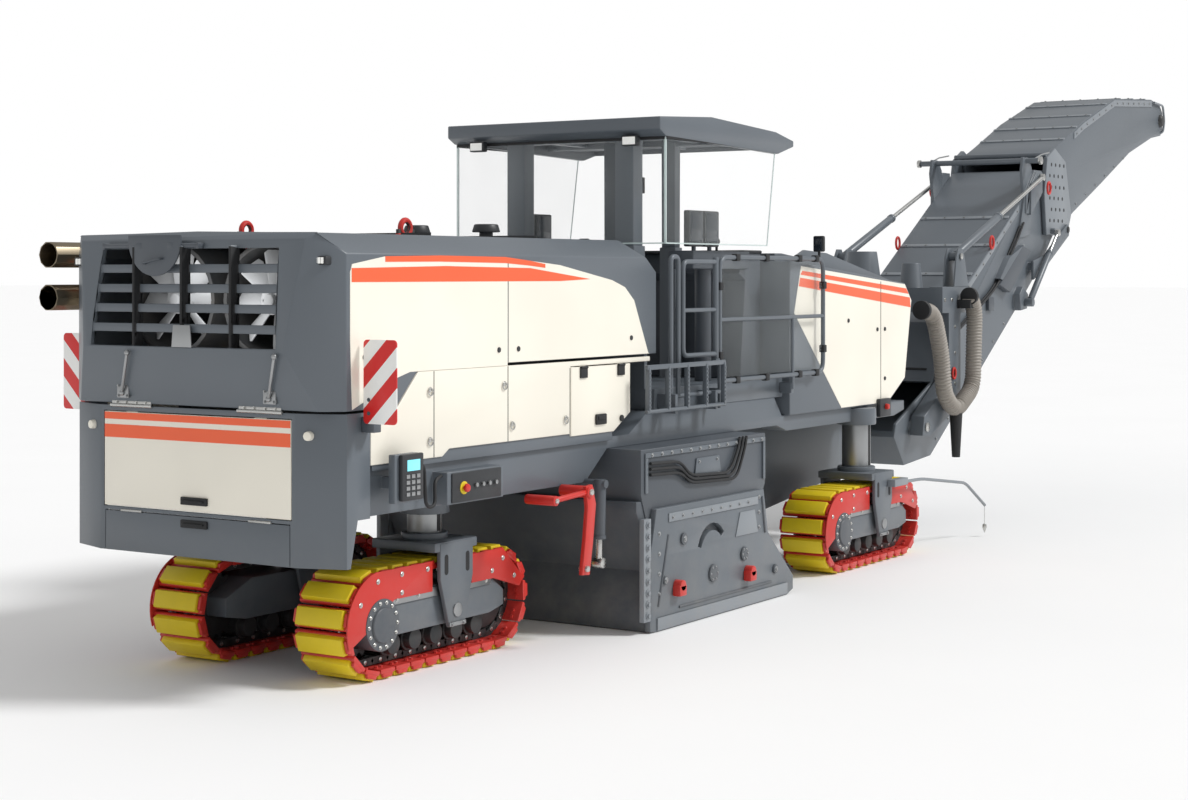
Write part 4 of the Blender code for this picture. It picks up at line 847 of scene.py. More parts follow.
def eased_copy(source: bpy.types.Mesh, width: float, merge: bool) -> bpy.types.Mesh:
    """A copy of a mesh with merged corners and eased sharp edges.

    Args:
        source: the mesh to copy.
        width: width of the eased edges.
        merge: whether flat neighbours become one face first.

    Returns:
        The new mesh.
    """
    bm = bmesh.new()
    bm.from_mesh(source)
    bmesh.ops.remove_doubles(bm, verts=bm.verts, dist=5e-05)
    if merge:
        bmesh.ops.dissolve_limit(bm, angle_limit=math.radians(0.6), use_dissolve_boundaries=False,
            verts=bm.verts, edges=bm.edges)
    edges = [e for e in bm.edges if len(e.link_faces) == 2 and e.calc_face_angle() > math.radians(32)
        and (e.calc_length() > width * 2.2)]
    if width > 0:
        bmesh.ops.bevel(bm, geom=edges, offset=width, offset_type="OFFSET", segments=2, profile=0.5,
            affect="EDGES", clamp_overlap=False, material=-1)
    mesh = bpy.data.meshes.new(source.name + "_shell")
    bm.to_mesh(mesh)
    bm.free()
    return mesh


def eased(node: str, finish: Finish, width: float = 0.005, smooth: float = 32.0) -> bpy.types.Object:
    """A copy of a CAD node with eased edges that stands for it.

    The copy's drawn area must stay near the node's, or a plainer copy is taken.

    Args:
        node: the CAD node.
        finish: its finish.
        width: width of the eased edges.
        smooth: faces that meet under this angle, in degrees, shade as one.

    Returns:
        The new object.
    """
    source = frame["nodes"][node]
    wanted = covered(source.data)
    for trial, merge in ((width, True), (width, False), (width / 2, False), (0.0, False)):
        mesh = eased_copy(source.data, trial, merge)
        ratio = covered(mesh) / wanted
        if abs(ratio - 1.0) < 0.02:
            break
    LOG.info("eased %s: width %.4f, merged %s, area ratio %.3f", node, trial, merge, ratio)
    return settle(mesh, node + "_shell", finish, source["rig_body"], (node,), smooth)


def painted(node: str, finish: Finish) -> None:
    """Gives a CAD node that keeps its own shape a better finish.

    Args:
        node: the CAD node.
        finish: its finish.
    """
    item = frame["nodes"][node]
    item.data.materials.clear()
    item.data.materials.append(finish.material())


# ------------------------------------------------------------------ crawlers
@dataclass(frozen=True)
class Crawler:
    """One crawler unit: belt, frame, fork and lift column."""

    axle: str
    side: Side
    x: float
    y: float
    column_r: float
    column_top: float
    wheel_gap: float = 1.44
    mid: float = 0.395
    line: float = 0.337
    width: float = 0.478
    shoes: int = 29
    column_ahead: float = 0.1

    @property
    def name(self) -> str:
        """The unit's ending in piece names."""
        return f"{self.axle}_{self.side.word}"

    @property
    def body(self) -> str:
        """The body that the unit rides on."""
        return f"track_{self.name}"

    def seat(self, share: float) -> Matrix:
        """A place on the chain line whose Z points outwards.

        Args:
            share: how far round the loop, nought to one.

        Returns:
            The place.
        """
        half, bend = (self.wheel_gap / 2, math.pi * self.line)
        run = share * 2 * (self.wheel_gap + bend)
        if run < self.wheel_gap:
            x, turn = (run - half, math.pi)
        elif run < self.wheel_gap + bend:
            x, turn = (half, math.pi - (run - self.wheel_gap) / self.line)
        elif run < 2 * self.wheel_gap + bend:
            x, turn = (half - (run - self.wheel_gap - bend), 0.0)
        else:
            x, turn = (-half, -(run - 2 * self.wheel_gap - bend) / self.line)
        return Matrix.Translation((self.x + x, self.y, self.mid)) @ Matrix.Rotation(turn, 4,
            "Y") @ Matrix.Translation((0, 0, self.line))

    def belt(self) -> None:
        """Pads, shoes, chain links and pins round the loop."""
        w = self.width / 2
        places = [self.seat((i + 0.5) / self.shoes) for i in range(self.shoes)]
        joints = [self.seat(i / self.shoes) for i in range(self.shoes)]
        pad = Shape().plate([(-0.07, 0.012), (-0.062, 0.058), (0.062, 0.058), (0.07, 0.012)], 0.032 - w,
            w - 0.032, bevel=0.007)
        shoe = Shape().plate([(-0.078, -0.02), (-0.078, 0.002), (-0.07, 0.014), (0.07, 0.014), (0.078, 0.002),
            (0.078, -0.02)], -w, w, bevel=0.003)
        for y in (-w, w - 0.026):
            shoe.plate([(-0.058, 0.01), (-0.046, 0.042), (0.046, 0.042), (0.058, 0.01)], y, y + 0.026,
                bevel=0.004)
        for y in (-0.17, 0.17):
            shoe.bar((0, y, -0.02), (0, y, -0.034), 0.016, sides=6).bar((0.05, y, -0.02), (0.05, y, -0.034),
                0.016, sides=6)
        link = Shape()
        for y, shift in ((0.052, 0.0), (-0.07, 0.0), (0.078, 0.086), (-0.096, 0.086)):
            link.plate([(shift - 0.104, -0.056), (shift - 0.088, -0.086), (shift + 0.088, -0.086),
                (shift + 0.104, -0.056), (shift + 0.084, -0.026), (shift - 0.084, -0.026)], y, y + 0.018,
                bevel=0.004, segments=1)
        pin = Shape().bar((0, -0.103, -0.056), (0, 0.103, -0.056), 0.017, sides=14, bevel=0.003)
        Shape().stamp(pad, places).piece(f"pads_{self.name}", YELLOW, self.body, (f"track_belt_{self.name}",))
        Shape().stamp(shoe, places).piece(f"shoes_{self.name}", RED, self.body)
        Shape().stamp(link, places).piece(f"links_{self.name}", CHAIN, self.body)
        Shape().stamp(pin, joints).piece(f"link_pins_{self.name}", STEEL, self.body)

    def running_gear(self) -> None:
        """Sprocket, idler, rollers and the final drive."""
        out, y, mid = (self.side.value, self.y, self.mid)
        drive, idler = (self.x - self.wheel_gap / 2, self.x + self.wheel_gap / 2)
        teeth = []
        for i in range(18):
            for reach, turn in ((0.216, -7), (0.244, -3.5), (0.244, 3.5), (0.216, 7)):
                a = math.radians(i * 20 + turn)
                teeth.append((drive + reach * math.cos(a), mid + reach * math.sin(a)))
        gear = Shape().plate(teeth, y - 0.045, y + 0.045, bevel=0.004)
        gear.bar((idler, y - 0.095, mid), (idler, y + 0.095, mid), 0.244, sides=48, bevel=0.01)
        gear.bar((idler, y - 0.215, mid), (idler, y + 0.215, mid), 0.085, bevel=0.006)
        for i in range(5):
            x = self.x + (i - 2) * 0.25
            z = mid - 0.249 + 0.0753
            gear.bar((x, y - 0.185, z), (x, y + 0.185, z), 0.074, sides=28, bevel=0.006)
            for s in (-1, 1):
                gear.bar((x, y + s * 0.106, z), (x, y + s * 0.126, z), 0.092, sides=28, bevel=0.004)
        gear.piece(f"wheels_{self.name}", CHAIN, self.body)
        face = y + out * 0.265
        cover = Shape().bar((drive, y + out * 0.05, mid), (drive, face, mid), 0.185, sides=48, bevel=0.008)
        cover.bar((drive, face, mid), (drive, face + out * 0.016, mid), 0.13, 0.12, sides=40, bevel=0.004)
        cover.piece(f"final_drive_{self.name}", SLATE_DARK, self.body)
        heads = Shape().bolts(circle((drive, face, mid), 0.158, 14), (0, out, 0), 0.01)
        heads.bolts([(self.x + dx, y + out * 0.249, mid + 0.155) for dx in (-0.55, -0.3, 0.0, 0.28, 0.53)],
            (0, out, 0))
        heads.piece(f"gear_bolts_{self.name}", STEEL, self.body)

    def frame(self) -> None:
        """Side beam, fork, pin, column and guards."""
        out, y, mid, gap = (self.side.value, self.y, self.mid, self.wheel_gap / 2)
        col = self.x + self.column_ahead
        w, top = (self.width / 2, 2 * self.mid)
        beam = Shape().plate([(self.x + x, z) for x, z in ((-gap - 0.1, mid - 0.06), (-gap + 0.12, mid - 0.1),
            (gap - 0.12, mid - 0.1), (gap + 0.06, mid - 0.06), (gap + 0.06, mid + 0.06),
            (gap - 0.15, mid + 0.2), (-gap + 0.18, mid + 0.2), (-gap - 0.1, mid + 0.08))], y - w + 0.004,
            y + w - 0.004, bevel=0.01)
        for face in (-1, 1):
            beam.plate([(col - 0.2, top + 0.105), (col - 0.2, mid + 0.24), (col - 0.09, mid - 0.12),
                (col + 0.09, mid - 0.12), (col + 0.2, mid + 0.24), (col + 0.2, top + 0.105)],
                y + face * (w + 0.024), y + face * (w + 0.06), bevel=0.008)
        reach = w + 0.054
        beam.block(about(col, 0.26), (y - reach, y + reach), (top + 0.045, top + 0.115), 0.01)
        beam.bar((col, y, top + 0.1), (col, y, top + 0.16), self.column_r + 0.045, sides=48, bevel=0.008)
        beam.piece(f"fork_{self.name}", SLATE, self.body, (f"track_frame_{self.name}",))
        column = Shape().bar((col, y, top + 0.15), (col, y, self.column_top), self.column_r, sides=56,
            bevel=0.004)
        column.bar((col, y - reach - 0.018, mid), (col, y + reach + 0.018, mid), 0.052, sides=32, bevel=0.005)
        edge = y + out * (w + 0.06)
        column.block(about(col, 0.1), (edge, edge + out * 0.01), (mid - 0.115, mid - 0.085), 0.003)
        column.bolts([(col + dx, edge + out * 0.01, mid - 0.1) for dx in (-0.07, 0.07)], (0, out, 0), 0.011)
        column.block((self.x - gap + 0.1, self.x + gap - 0.12), (y + out * (w - 0.02), y + out * (w + 0.01)),
            (mid + 0.12, mid + 0.19), 0.006)
        column.piece(f"column_{self.name}", SATIN, self.body)
        # painted shade: a thin black strip down the column and black slot shapes on the fork plates' faces
        # stand for the dark inside the slots
        dark = Shape().block(about(col, 0.018), (y + out * (self.column_r - 0.01),
            y + out * (self.column_r + 0.003)), (top + 0.17, self.column_top), 0.002)
        for dx in (-0.13, 0.13):
            lobe = arc((col + dx, top), 0.022, 0, 180, 8) + arc((col + dx, mid + 0.29), 0.022, 180, 360, 8)
            dark.plate(lobe, edge - out * 0.002, edge + out * 0.0015)
        dark.piece(f"column_slot_{self.name}", BLACK, self.body)
        near, far = (y + out * (w + 0.006), y + out * (w + 0.018))
        guard = Shape()
        rear = arc((self.x - gap, mid), mid - 0.012, 200, 100, 12) + [(col - 0.24, top - 0.015),
            (col - 0.24, mid + 0.16), (self.x - gap + 0.14, mid + 0.16), (self.x - gap - 0.16, mid - 0.03)]
        front = [(col + 0.24, mid + 0.16), (col + 0.24, top - 0.02), (self.x + gap + 0.02, top - 0.015),
            (self.x + gap + 0.3, mid + 0.12), (self.x + gap + 0.24, mid + 0.06),
            (self.x + gap - 0.1, mid + 0.16)]
        guard.plate(rear, near, far, bevel=0.003).plate(front, near, far, bevel=0.003)
        guard.piece(f"guards_{self.name}", RED, self.body)
        spots = [(self.x - gap - 0.24, mid + 0.17), (self.x - gap - 0.05, mid + 0.31),
            (self.x - gap + 0.22, mid + 0.33), (self.x - gap + 0.22, mid + 0.2), (col - 0.3, mid + 0.33),
            (self.x + gap - 0.12, mid + 0.22), (self.x + gap + 0.02, mid + 0.3),
            (self.x + gap + 0.17, mid + 0.15)]
        Shape().bolts([(x, far, z) for x, z in spots], (0, out, 0), 0.013).piece(f"guard_bolts_{self.name}",
            STEEL, self.body)

    def build(self) -> None:
        """Every piece of the unit."""
        self.belt()
        self.running_gear()
        self.frame()


# ------------------------------------------------------------------ rear end
@dataclass(frozen=True)
class RearEnd:
    """Service door, flap, coolers and what hangs at the grille."""

    door_half: float = 0.871
    door_top: float = 1.884
    fan_x: float = 0.34
    fan_y: float = 0.445
    fan_z: float = 2.672
    fan_r: float = 0.36
    blades: int = 8

    def doors(self) -> None:
        """Door and flap with their stripes, latches and hinges."""
        eased("rear_shell", SLATE, 0.006)
        eased("rear_door", CREAM, 0.006)
        eased("rear_flap", SLATE, 0.006)
        half = self.door_half - 0.004
        stripes = Shape()
        for low, high in ((1.829, 1.878), (1.7, 1.792)):
            stripes.plate([(-half, low), (half, low), (half, high), (-half, high)], -0.0018, 0.002, Plane.CROSS)
        stripes.piece("door_stripes", ORANGE, "rear_door")
        for name, body, low, high in (("door_latch", "rear_door", 1.262, 1.316),
                ("flap_latch", "rear_flap", 1.104, 1.158)):
            latch = Shape().block((-0.018, 0.002), (-0.125, 0.12), (low, high), 0.006)
            latch.sweep(rounded([(-0.012, -0.095, (low + high) / 2), (-0.032, -0.095, (low + high) / 2),
                (-0.032, 0.09, (low + high) / 2), (-0.012, 0.09, (low + high) / 2)], 0.012), 0.007)
            latch.piece(name, BLACK, body)
        hinges = Shape()
        for y in (0.6, -0.6):
            hinges.bar((-0.004, y - 0.2, 1.93), (-0.004, y + 0.2, 1.93), 0.014, bevel=0.002)
            hinges.block((-0.006, 0.004), about(y, 0.19), (1.93, 1.965), 0.003)
            hinges.bolts([(-0.006, y + d, 1.95) for d in (-0.14, -0.05, 0.05, 0.14)], (-1, 0, 0), 0.009)
            hinges.bar((-0.002, y - 0.1, 1.187), (-0.002, y + 0.1, 1.187), 0.009, bevel=0.001)
        hinges.piece("door_hinges", STEEL)
        knob = Shape().bar((0.05, -1.0, 1.781), (-0.004, -1.012, 1.781), 0.034, 0.03, bevel=0.006)
        knob.bar((0.05, 1.0, 1.781), (-0.004, 1.012, 1.781), 0.034, 0.03, bevel=0.006)
        knob.piece("corner_knobs", CREAM)

    def hanging(self) -> None:
        """Half-round lid, its tube, the rod latches and the blank badge, all on the hood."""
        lid = Shape().plate([(0.5, 3.125), *arc((0.25, 3.09), 0.25, 0, -180, 20), (0.0, 3.125)], -0.135, -0.121,
            Plane.CROSS, 0.004)
        lid.bar((-0.105, -0.144, 3.05), (-0.105, 0.765, 3.05), 0.017, bevel=0.002)
        for y in (0.1, 0.4):
            lid.block((-0.137, -0.088), about(y, 0.03), (3.026, 3.074), 0.006)
        lid.sweep(rounded([(-0.135, 0.33, 2.93), (-0.175, 0.33, 2.93), (-0.175, 0.17, 2.96),
            (-0.135, 0.17, 2.96)], 0.02), 0.008)
        for y in (-0.135, 0.755):
            lid.block((-0.12, -0.04), about(y, 0.014), (3.03, 3.07), 0.004)
        lid.piece("exhaust_lid", SLATE_DARK, "hood")
        badge = Shape().plate([(-0.12, 2.356), (0.066, 2.356), (0.052, 2.508), (-0.106, 2.508)], -0.158, -0.149,
            Plane.CROSS, 0.003)
        badge.piece("blank_badge", SATIN, "hood")
        rods = Shape()
        for low, high in ((0.645, 0.48), (-0.72, -0.87)):
            rods.bar((-0.052, low, 2.02), (-0.165, high, 2.31), 0.011, bevel=0.002)
            rods.ball((-0.165, high, 2.31), 0.02).ball((-0.052, low, 2.02), 0.02)
            rods.block((-0.046, -0.024), about(low, 0.055), (1.985, 2.085), 0.004)
            rods.bolts([(-0.046, low + dy, 2.035 + dz) for dy in (-0.04, 0.04) for dz in (-0.035, 0.035)],
                (-1, 0, 0), 0.008)
        rods.piece("rod_latches", SATIN, "hood")
        lamp = Shape().block((-0.004, 0.115), (-1.176, -1.06), (2.915, 2.975), 0.01)
        lamp.block((-0.004, 0.115), (1.06, 1.176), (2.915, 2.975), 0.01)
        lamp.piece("lamp_recess", PLASTIC, "hood")
        lens = Shape()
        for y in (-1.145, -1.118, -1.091, 1.091, 1.118, 1.145):
            lens.block((-0.009, 0.0), about(y, 0.011), (2.925, 2.966), 0.003)
        lens.piece("lamp_lenses", LENS, "hood")

    def coolers(self) -> None:
        """Cooler block, fan rings and lifting eyes."""
        eased("cooler_pack", ENGINE, 0.004)
        core = Shape().block((0.788, 0.802), (-0.915, 0.915), (1.72, 3.0), 0.003)
        core.piece("cooler_core", FINS)
        eyes = Shape()
        for s in (-1, 1):
            y = s * 0.768
            eyes.sweep(circle((1.365, y, 3.19), 0.056, 24, closed=True), 0.021, 10).block((1.268, 1.462),
                about(y, 0.017), (2.9, 3.15), 0.006)
        eyes.piece("lifting_eyes", RED)

    def fans(self) -> None:
        """Bladed fans with bright hubs."""
        for side in Side:
            y = side.value * self.fan_y
            blade = Shape().plate([(-0.045, 0.06), (0.045, 0.06), (0.085, self.fan_r - 0.03),
                (0.06, self.fan_r - 0.008), (-0.075, self.fan_r - 0.012), (-0.088, self.fan_r - 0.05)], -0.004,
                0.004, Plane.CROSS, 0.002)
            bmesh.ops.rotate(blade.bm, matrix=Matrix.Rotation(math.radians(34), 3, "Z"), verts=blade.bm.verts)
            fan = Shape().bar((self.fan_x - 0.055, y, self.fan_z), (self.fan_x + 0.055, y, self.fan_z), 0.1,
                sides=40, bevel=0.01)
            fan.bar((self.fan_x - 0.085, y, self.fan_z), (self.fan_x - 0.05, y, self.fan_z), 0.045, 0.055,
                bevel=0.006)
            fan.stamp(blade, [Matrix.Translation((self.fan_x, y, self.fan_z)) @ Matrix.Rotation(
                math.tau * i / self.blades, 4, "X") for i in range(self.blades)])
            fan.bolts(circle((self.fan_x - 0.055, y, self.fan_z), 0.075, 6, Plane.CROSS), (-1, 0, 0), 0.008)
            fan.piece(f"bladed_fan_{side.word}", SILVER, f"fan_{side.word}", (f"fan_{side.word}",))

    def build(self) -> None:
        """Every piece of the rear end."""
        self.doors()
        self.hanging()
        self.coolers()
        self.fans()


# ------------------------------------------------------------------ hood and sides
@dataclass(frozen=True)
class EngineHood:
    """Hood with its cream sides and stripes."""

    half: float = 1.252

    def skin(self, shape: Shape, points: Sequence[Sequence[float]], proud: float, bevel: float = 0.0) -> None:
        """A thin plate on both sides of the hood.

        Args:
            shape: the shape that the plates join.
            points: the outline, as station and height.
            proud: how far the plate stands out.
            bevel: width of the eased edge.
        """
        for s in (-1, 1):
            shape.plate(points, s * (self.half - 0.004), s * (self.half + proud), bevel=bevel, segments=1)

    def build(self) -> None:
        """Every piece of the hood."""
        skin = eased("engine_hood", SLATE, 0.008)
        skin.data.materials.append(BLACK.material())
        for face in skin.data.polygons:
            spot = face.center
            if spot.x - STATION_ZERO < 0.06 and 2.36 < spot.z < 3.02 and (
                    min((abs(spot.y - post) for post in (-0.45, 0.0, 0.45))) < 0.02):
                face.material_index = 1
        eased("exhaust_pipes", BURNT, 0.004)
        painted("engine_block", ENGINE)
        panels, stripes, seams = (Shape(), Shape(), Shape())
        outline = [(0.151, 2.869), (0.172, 2.922), (0.521, 2.975), (1.139, 2.984), (1.931, 2.98),
            (1.964, 2.977), (1.964, 2.181), (0.796, 2.181), (0.554, 2.123), (0.361, 2.024), (0.172, 1.953),
            (0.151, 2.419)]
        self.skin(panels, outline, 0.003, 0.002)
        self.skin(panels, [(1.976, 2.976), (2.662, 2.924), (3.412, 2.807), (3.608, 2.75), (3.747, 2.644),
            (3.967, 2.215), (3.985, 2.203), (1.976, 2.203)], 0.003, 0.002)
        self.skin(stripes, [(0.521, 2.976), (1.139, 2.986), (1.931, 2.981), (2.256, 2.955), (2.457, 2.931),
            (2.457, 2.902), (2.256, 2.918), (1.931, 2.936), (1.139, 2.943), (0.521, 2.938)], 0.0045)
        self.skin(stripes, [(0.165, 2.895), (1.2, 2.912), (2.256, 2.9), (3.087, 2.816), (2.662, 2.802),
            (0.165, 2.802)], 0.0045)
        panels.piece("hood_panels", CREAM, "hood")
        stripes.piece("hood_stripes", ORANGE, "hood")
        for x in (1.3, 2.62):
            seams.block(about(x, 0.003), (-1.05, 1.05), (3.1, 3.1535), 0.001)
        for s in (-1, 1):
            for x, z in ((0.3, 2.3), (1.85, 2.3), (2.1, 2.3), (3.7, 2.34)):
                seams.bar((x, s * self.half, z), (x, s * 1.262, z), 0.02, bevel=0.003)
        seams.piece("hood_latches", PLASTIC, "hood")
        intake = Shape()
        for y in (-0.35, 0.35):
            intake.bar((2.95, y, 3.11), (2.95, y, 3.2), 0.055).bar((2.95, y, 3.19), (2.95, y, 3.255), 0.115,
                0.095, sides=40, bevel=0.01)
        intake.piece("air_intakes", PLASTIC, "hood")


@dataclass(frozen=True)
class SidePanels:
    """Fixed panels, service flaps and what is fixed beside them."""

    half: float = 1.252
    box_face: float = 1.385

    def panels(self) -> None:
        """Panels and flaps with seams and flap fittings."""
        seams, eyes = (Shape(), Shape())
        for side in Side:
            s, word = (side.value, side.word)
            eased(f"side_panel_{word}", CREAM, 0.005)
            eased(f"side_flap_{word}", CREAM, 0.005)
            for x, low, high in ((1.069, 1.572, 2.176), (1.97, 1.622, 2.176), (2.802, 1.622, 2.13)):
                seams.block(about(x, 0.004), (s * (self.half - 0.004), s * (self.half + 0.0012)), (low, high))
            for x, z in ((1.02, 2.05), (1.02, 1.7), (1.92, 2.05), (2.02, 1.75), (2.74, 1.75)):
                eyes.bar((x, s * self.half, z), (x, s * (self.half + 0.008), z), 0.018, bevel=0.002)
                eyes.sweep(circle((x, s * (self.half + 0.01), z - 0.018), 0.026, 16, closed=True), 0.005, 8)
            fitting = Shape()
            for x in (2.99, 3.54):
                fitting.block(about(x, 0.05), (s * self.half, s * (self.half + 0.014)), (2.045, 2.128), 0.005)
                fitting.bar((x - 0.045, s * (self.half + 0.01), 2.128),
                    (x + 0.045, s * (self.half + 0.01), 2.128), 0.011)
            fitting.block((3.16, 3.31), (s * self.half, s * (self.half + 0.02)), (1.668, 1.752), 0.008)
            fitting.block((3.18, 3.29), (s * self.half, s * (self.half + 0.028)), (1.705, 1.738), 0.006)
            fitting.bar((3.55, s * self.half, 1.7), (3.55, s * (self.half + 0.014), 1.7), 0.026, bevel=0.003)
            fitting.piece(f"flap_fittings_{word}", BLACK, f"side_flap_{word}")
        sills = Shape()
        for s in (-1, 1):
            sills.plate([(0.4, 1.53), (3.44, 1.53), (3.44, 1.64), (0.4, 1.64)], s * 1.2235, s * 1.238,
                bevel=0.003)
        sills.piece("panel_sills", SLATE)
        seams.piece("panel_seams", PLASTIC)
        eyes.piece("panel_rings", STEEL)

    def controls(self) -> None:
        """Keypads, switch panels and stop buttons on both rear corners."""
        boxes, keys, screens, stops, rings = (Shape() for _ in range(5))
        for side in Side:
            s, face = (side.value, side.value * self.box_face)
            boxes.block((0.5, 0.735), (face, face + s * 0.035), (1.325, 1.64), 0.01)
            boxes.block((1.165, 1.76), (s * 1.33, s * 1.342), (1.245, 1.455), 0.006)
            screens.block((0.552, 0.692), (face + s * 0.034, face + s * 0.037), (1.525, 1.6), 0.001)
            for i in range(3):
                for k in range(4):
                    keys.block((0.54 + i * 0.056, 0.578 + i * 0.056), (face + s * 0.034, face + s * 0.041),
                        (1.355 + k * 0.04, 1.382 + k * 0.04), 0.003)
            for x in (1.44, 1.52, 1.6, 1.68):
                keys.bar((x, s * 1.341, 1.355), (x, s * 1.362, 1.355), 0.016, bevel=0.003)
            stops.bar((1.3, s * 1.341, 1.345), (1.3, s * 1.362, 1.345), 0.014)
            stops.bar((1.3, s * 1.362, 1.345), (1.3, s * 1.384, 1.345), 0.032, 0.027, sides=32, bevel=0.005)
            rings.bar((1.3, s * 1.341, 1.345), (1.3, s * 1.347, 1.345), 0.046, sides=32, bevel=0.001)
        boxes.piece("control_cases", PLASTIC)
        keys.piece("control_keys", SATIN)
        screens.piece("keypad_screens", SCREEN)
        stops.piece("stop_buttons", RED)
        rings.piece("stop_rings", YELLOW)
        loops = Shape()
        for s in (-1, 1):
            loops.sweep(rounded([(0.75, s * 1.31, 1.56), (0.84, s * 1.34, 1.55), (0.86, s * 1.34, 1.25),
                (0.98, s * 1.33, 1.24), (1.0, s * 1.31, 1.42), (1.1, s * 1.29, 1.44)], 0.06), 0.013, 12)
        loops.piece("control_cables", BLACK)

    def markers(self) -> None:
        """Warning plates on their arms."""
        for side in Side:
            s = side.value
            board = Shape().plate(self.board(s), 0.2545, 0.2635, Plane.CROSS, 0.0015)
            board.piece(f"marker_board_{side.word}", MARKER, "machine", (f"marker_plate_{side.word}",))
            arm = Shape().block((0.2645, 0.345), (s * 1.2525, s * 1.362), (1.8, 1.905), 0.006)
            arm.block((0.264, 0.3), (s * 1.302, s * 1.352), (1.85, 2.05), 0.006)
            arm.bolts([(0.2535, s * 1.327, z) for z in (1.93, 2.02)], (-1, 0, 0), 0.009, 0.006)
            arm.piece(f"marker_arm_{side.word}", SLATE_DARK)

    def board(self, s: int) -> list[tuple[float, float]]:
        """The rounded outline of a warning plate.

        Args:
            s: the side's sign.

        Returns:
            The outline, as Y and height.
        """
        corners = ((s * 1.534, 2.392, 0), (s * 1.31, 2.392, 90), (s * 1.31, 1.888, 180),
            (s * 1.534, 1.888, 270))
        points = []
        for y, z, start in corners:
            points += arc((y, z), 0.028, start, start + 90, 4) if s > 0 else [(2 * y - u, v)
                for u, v in arc((y, z), 0.028, start, start + 90, 4)]
        return points

    def build(self) -> None:
        """Every piece of the sides."""
        self.panels()
        self.controls()
        self.markers()


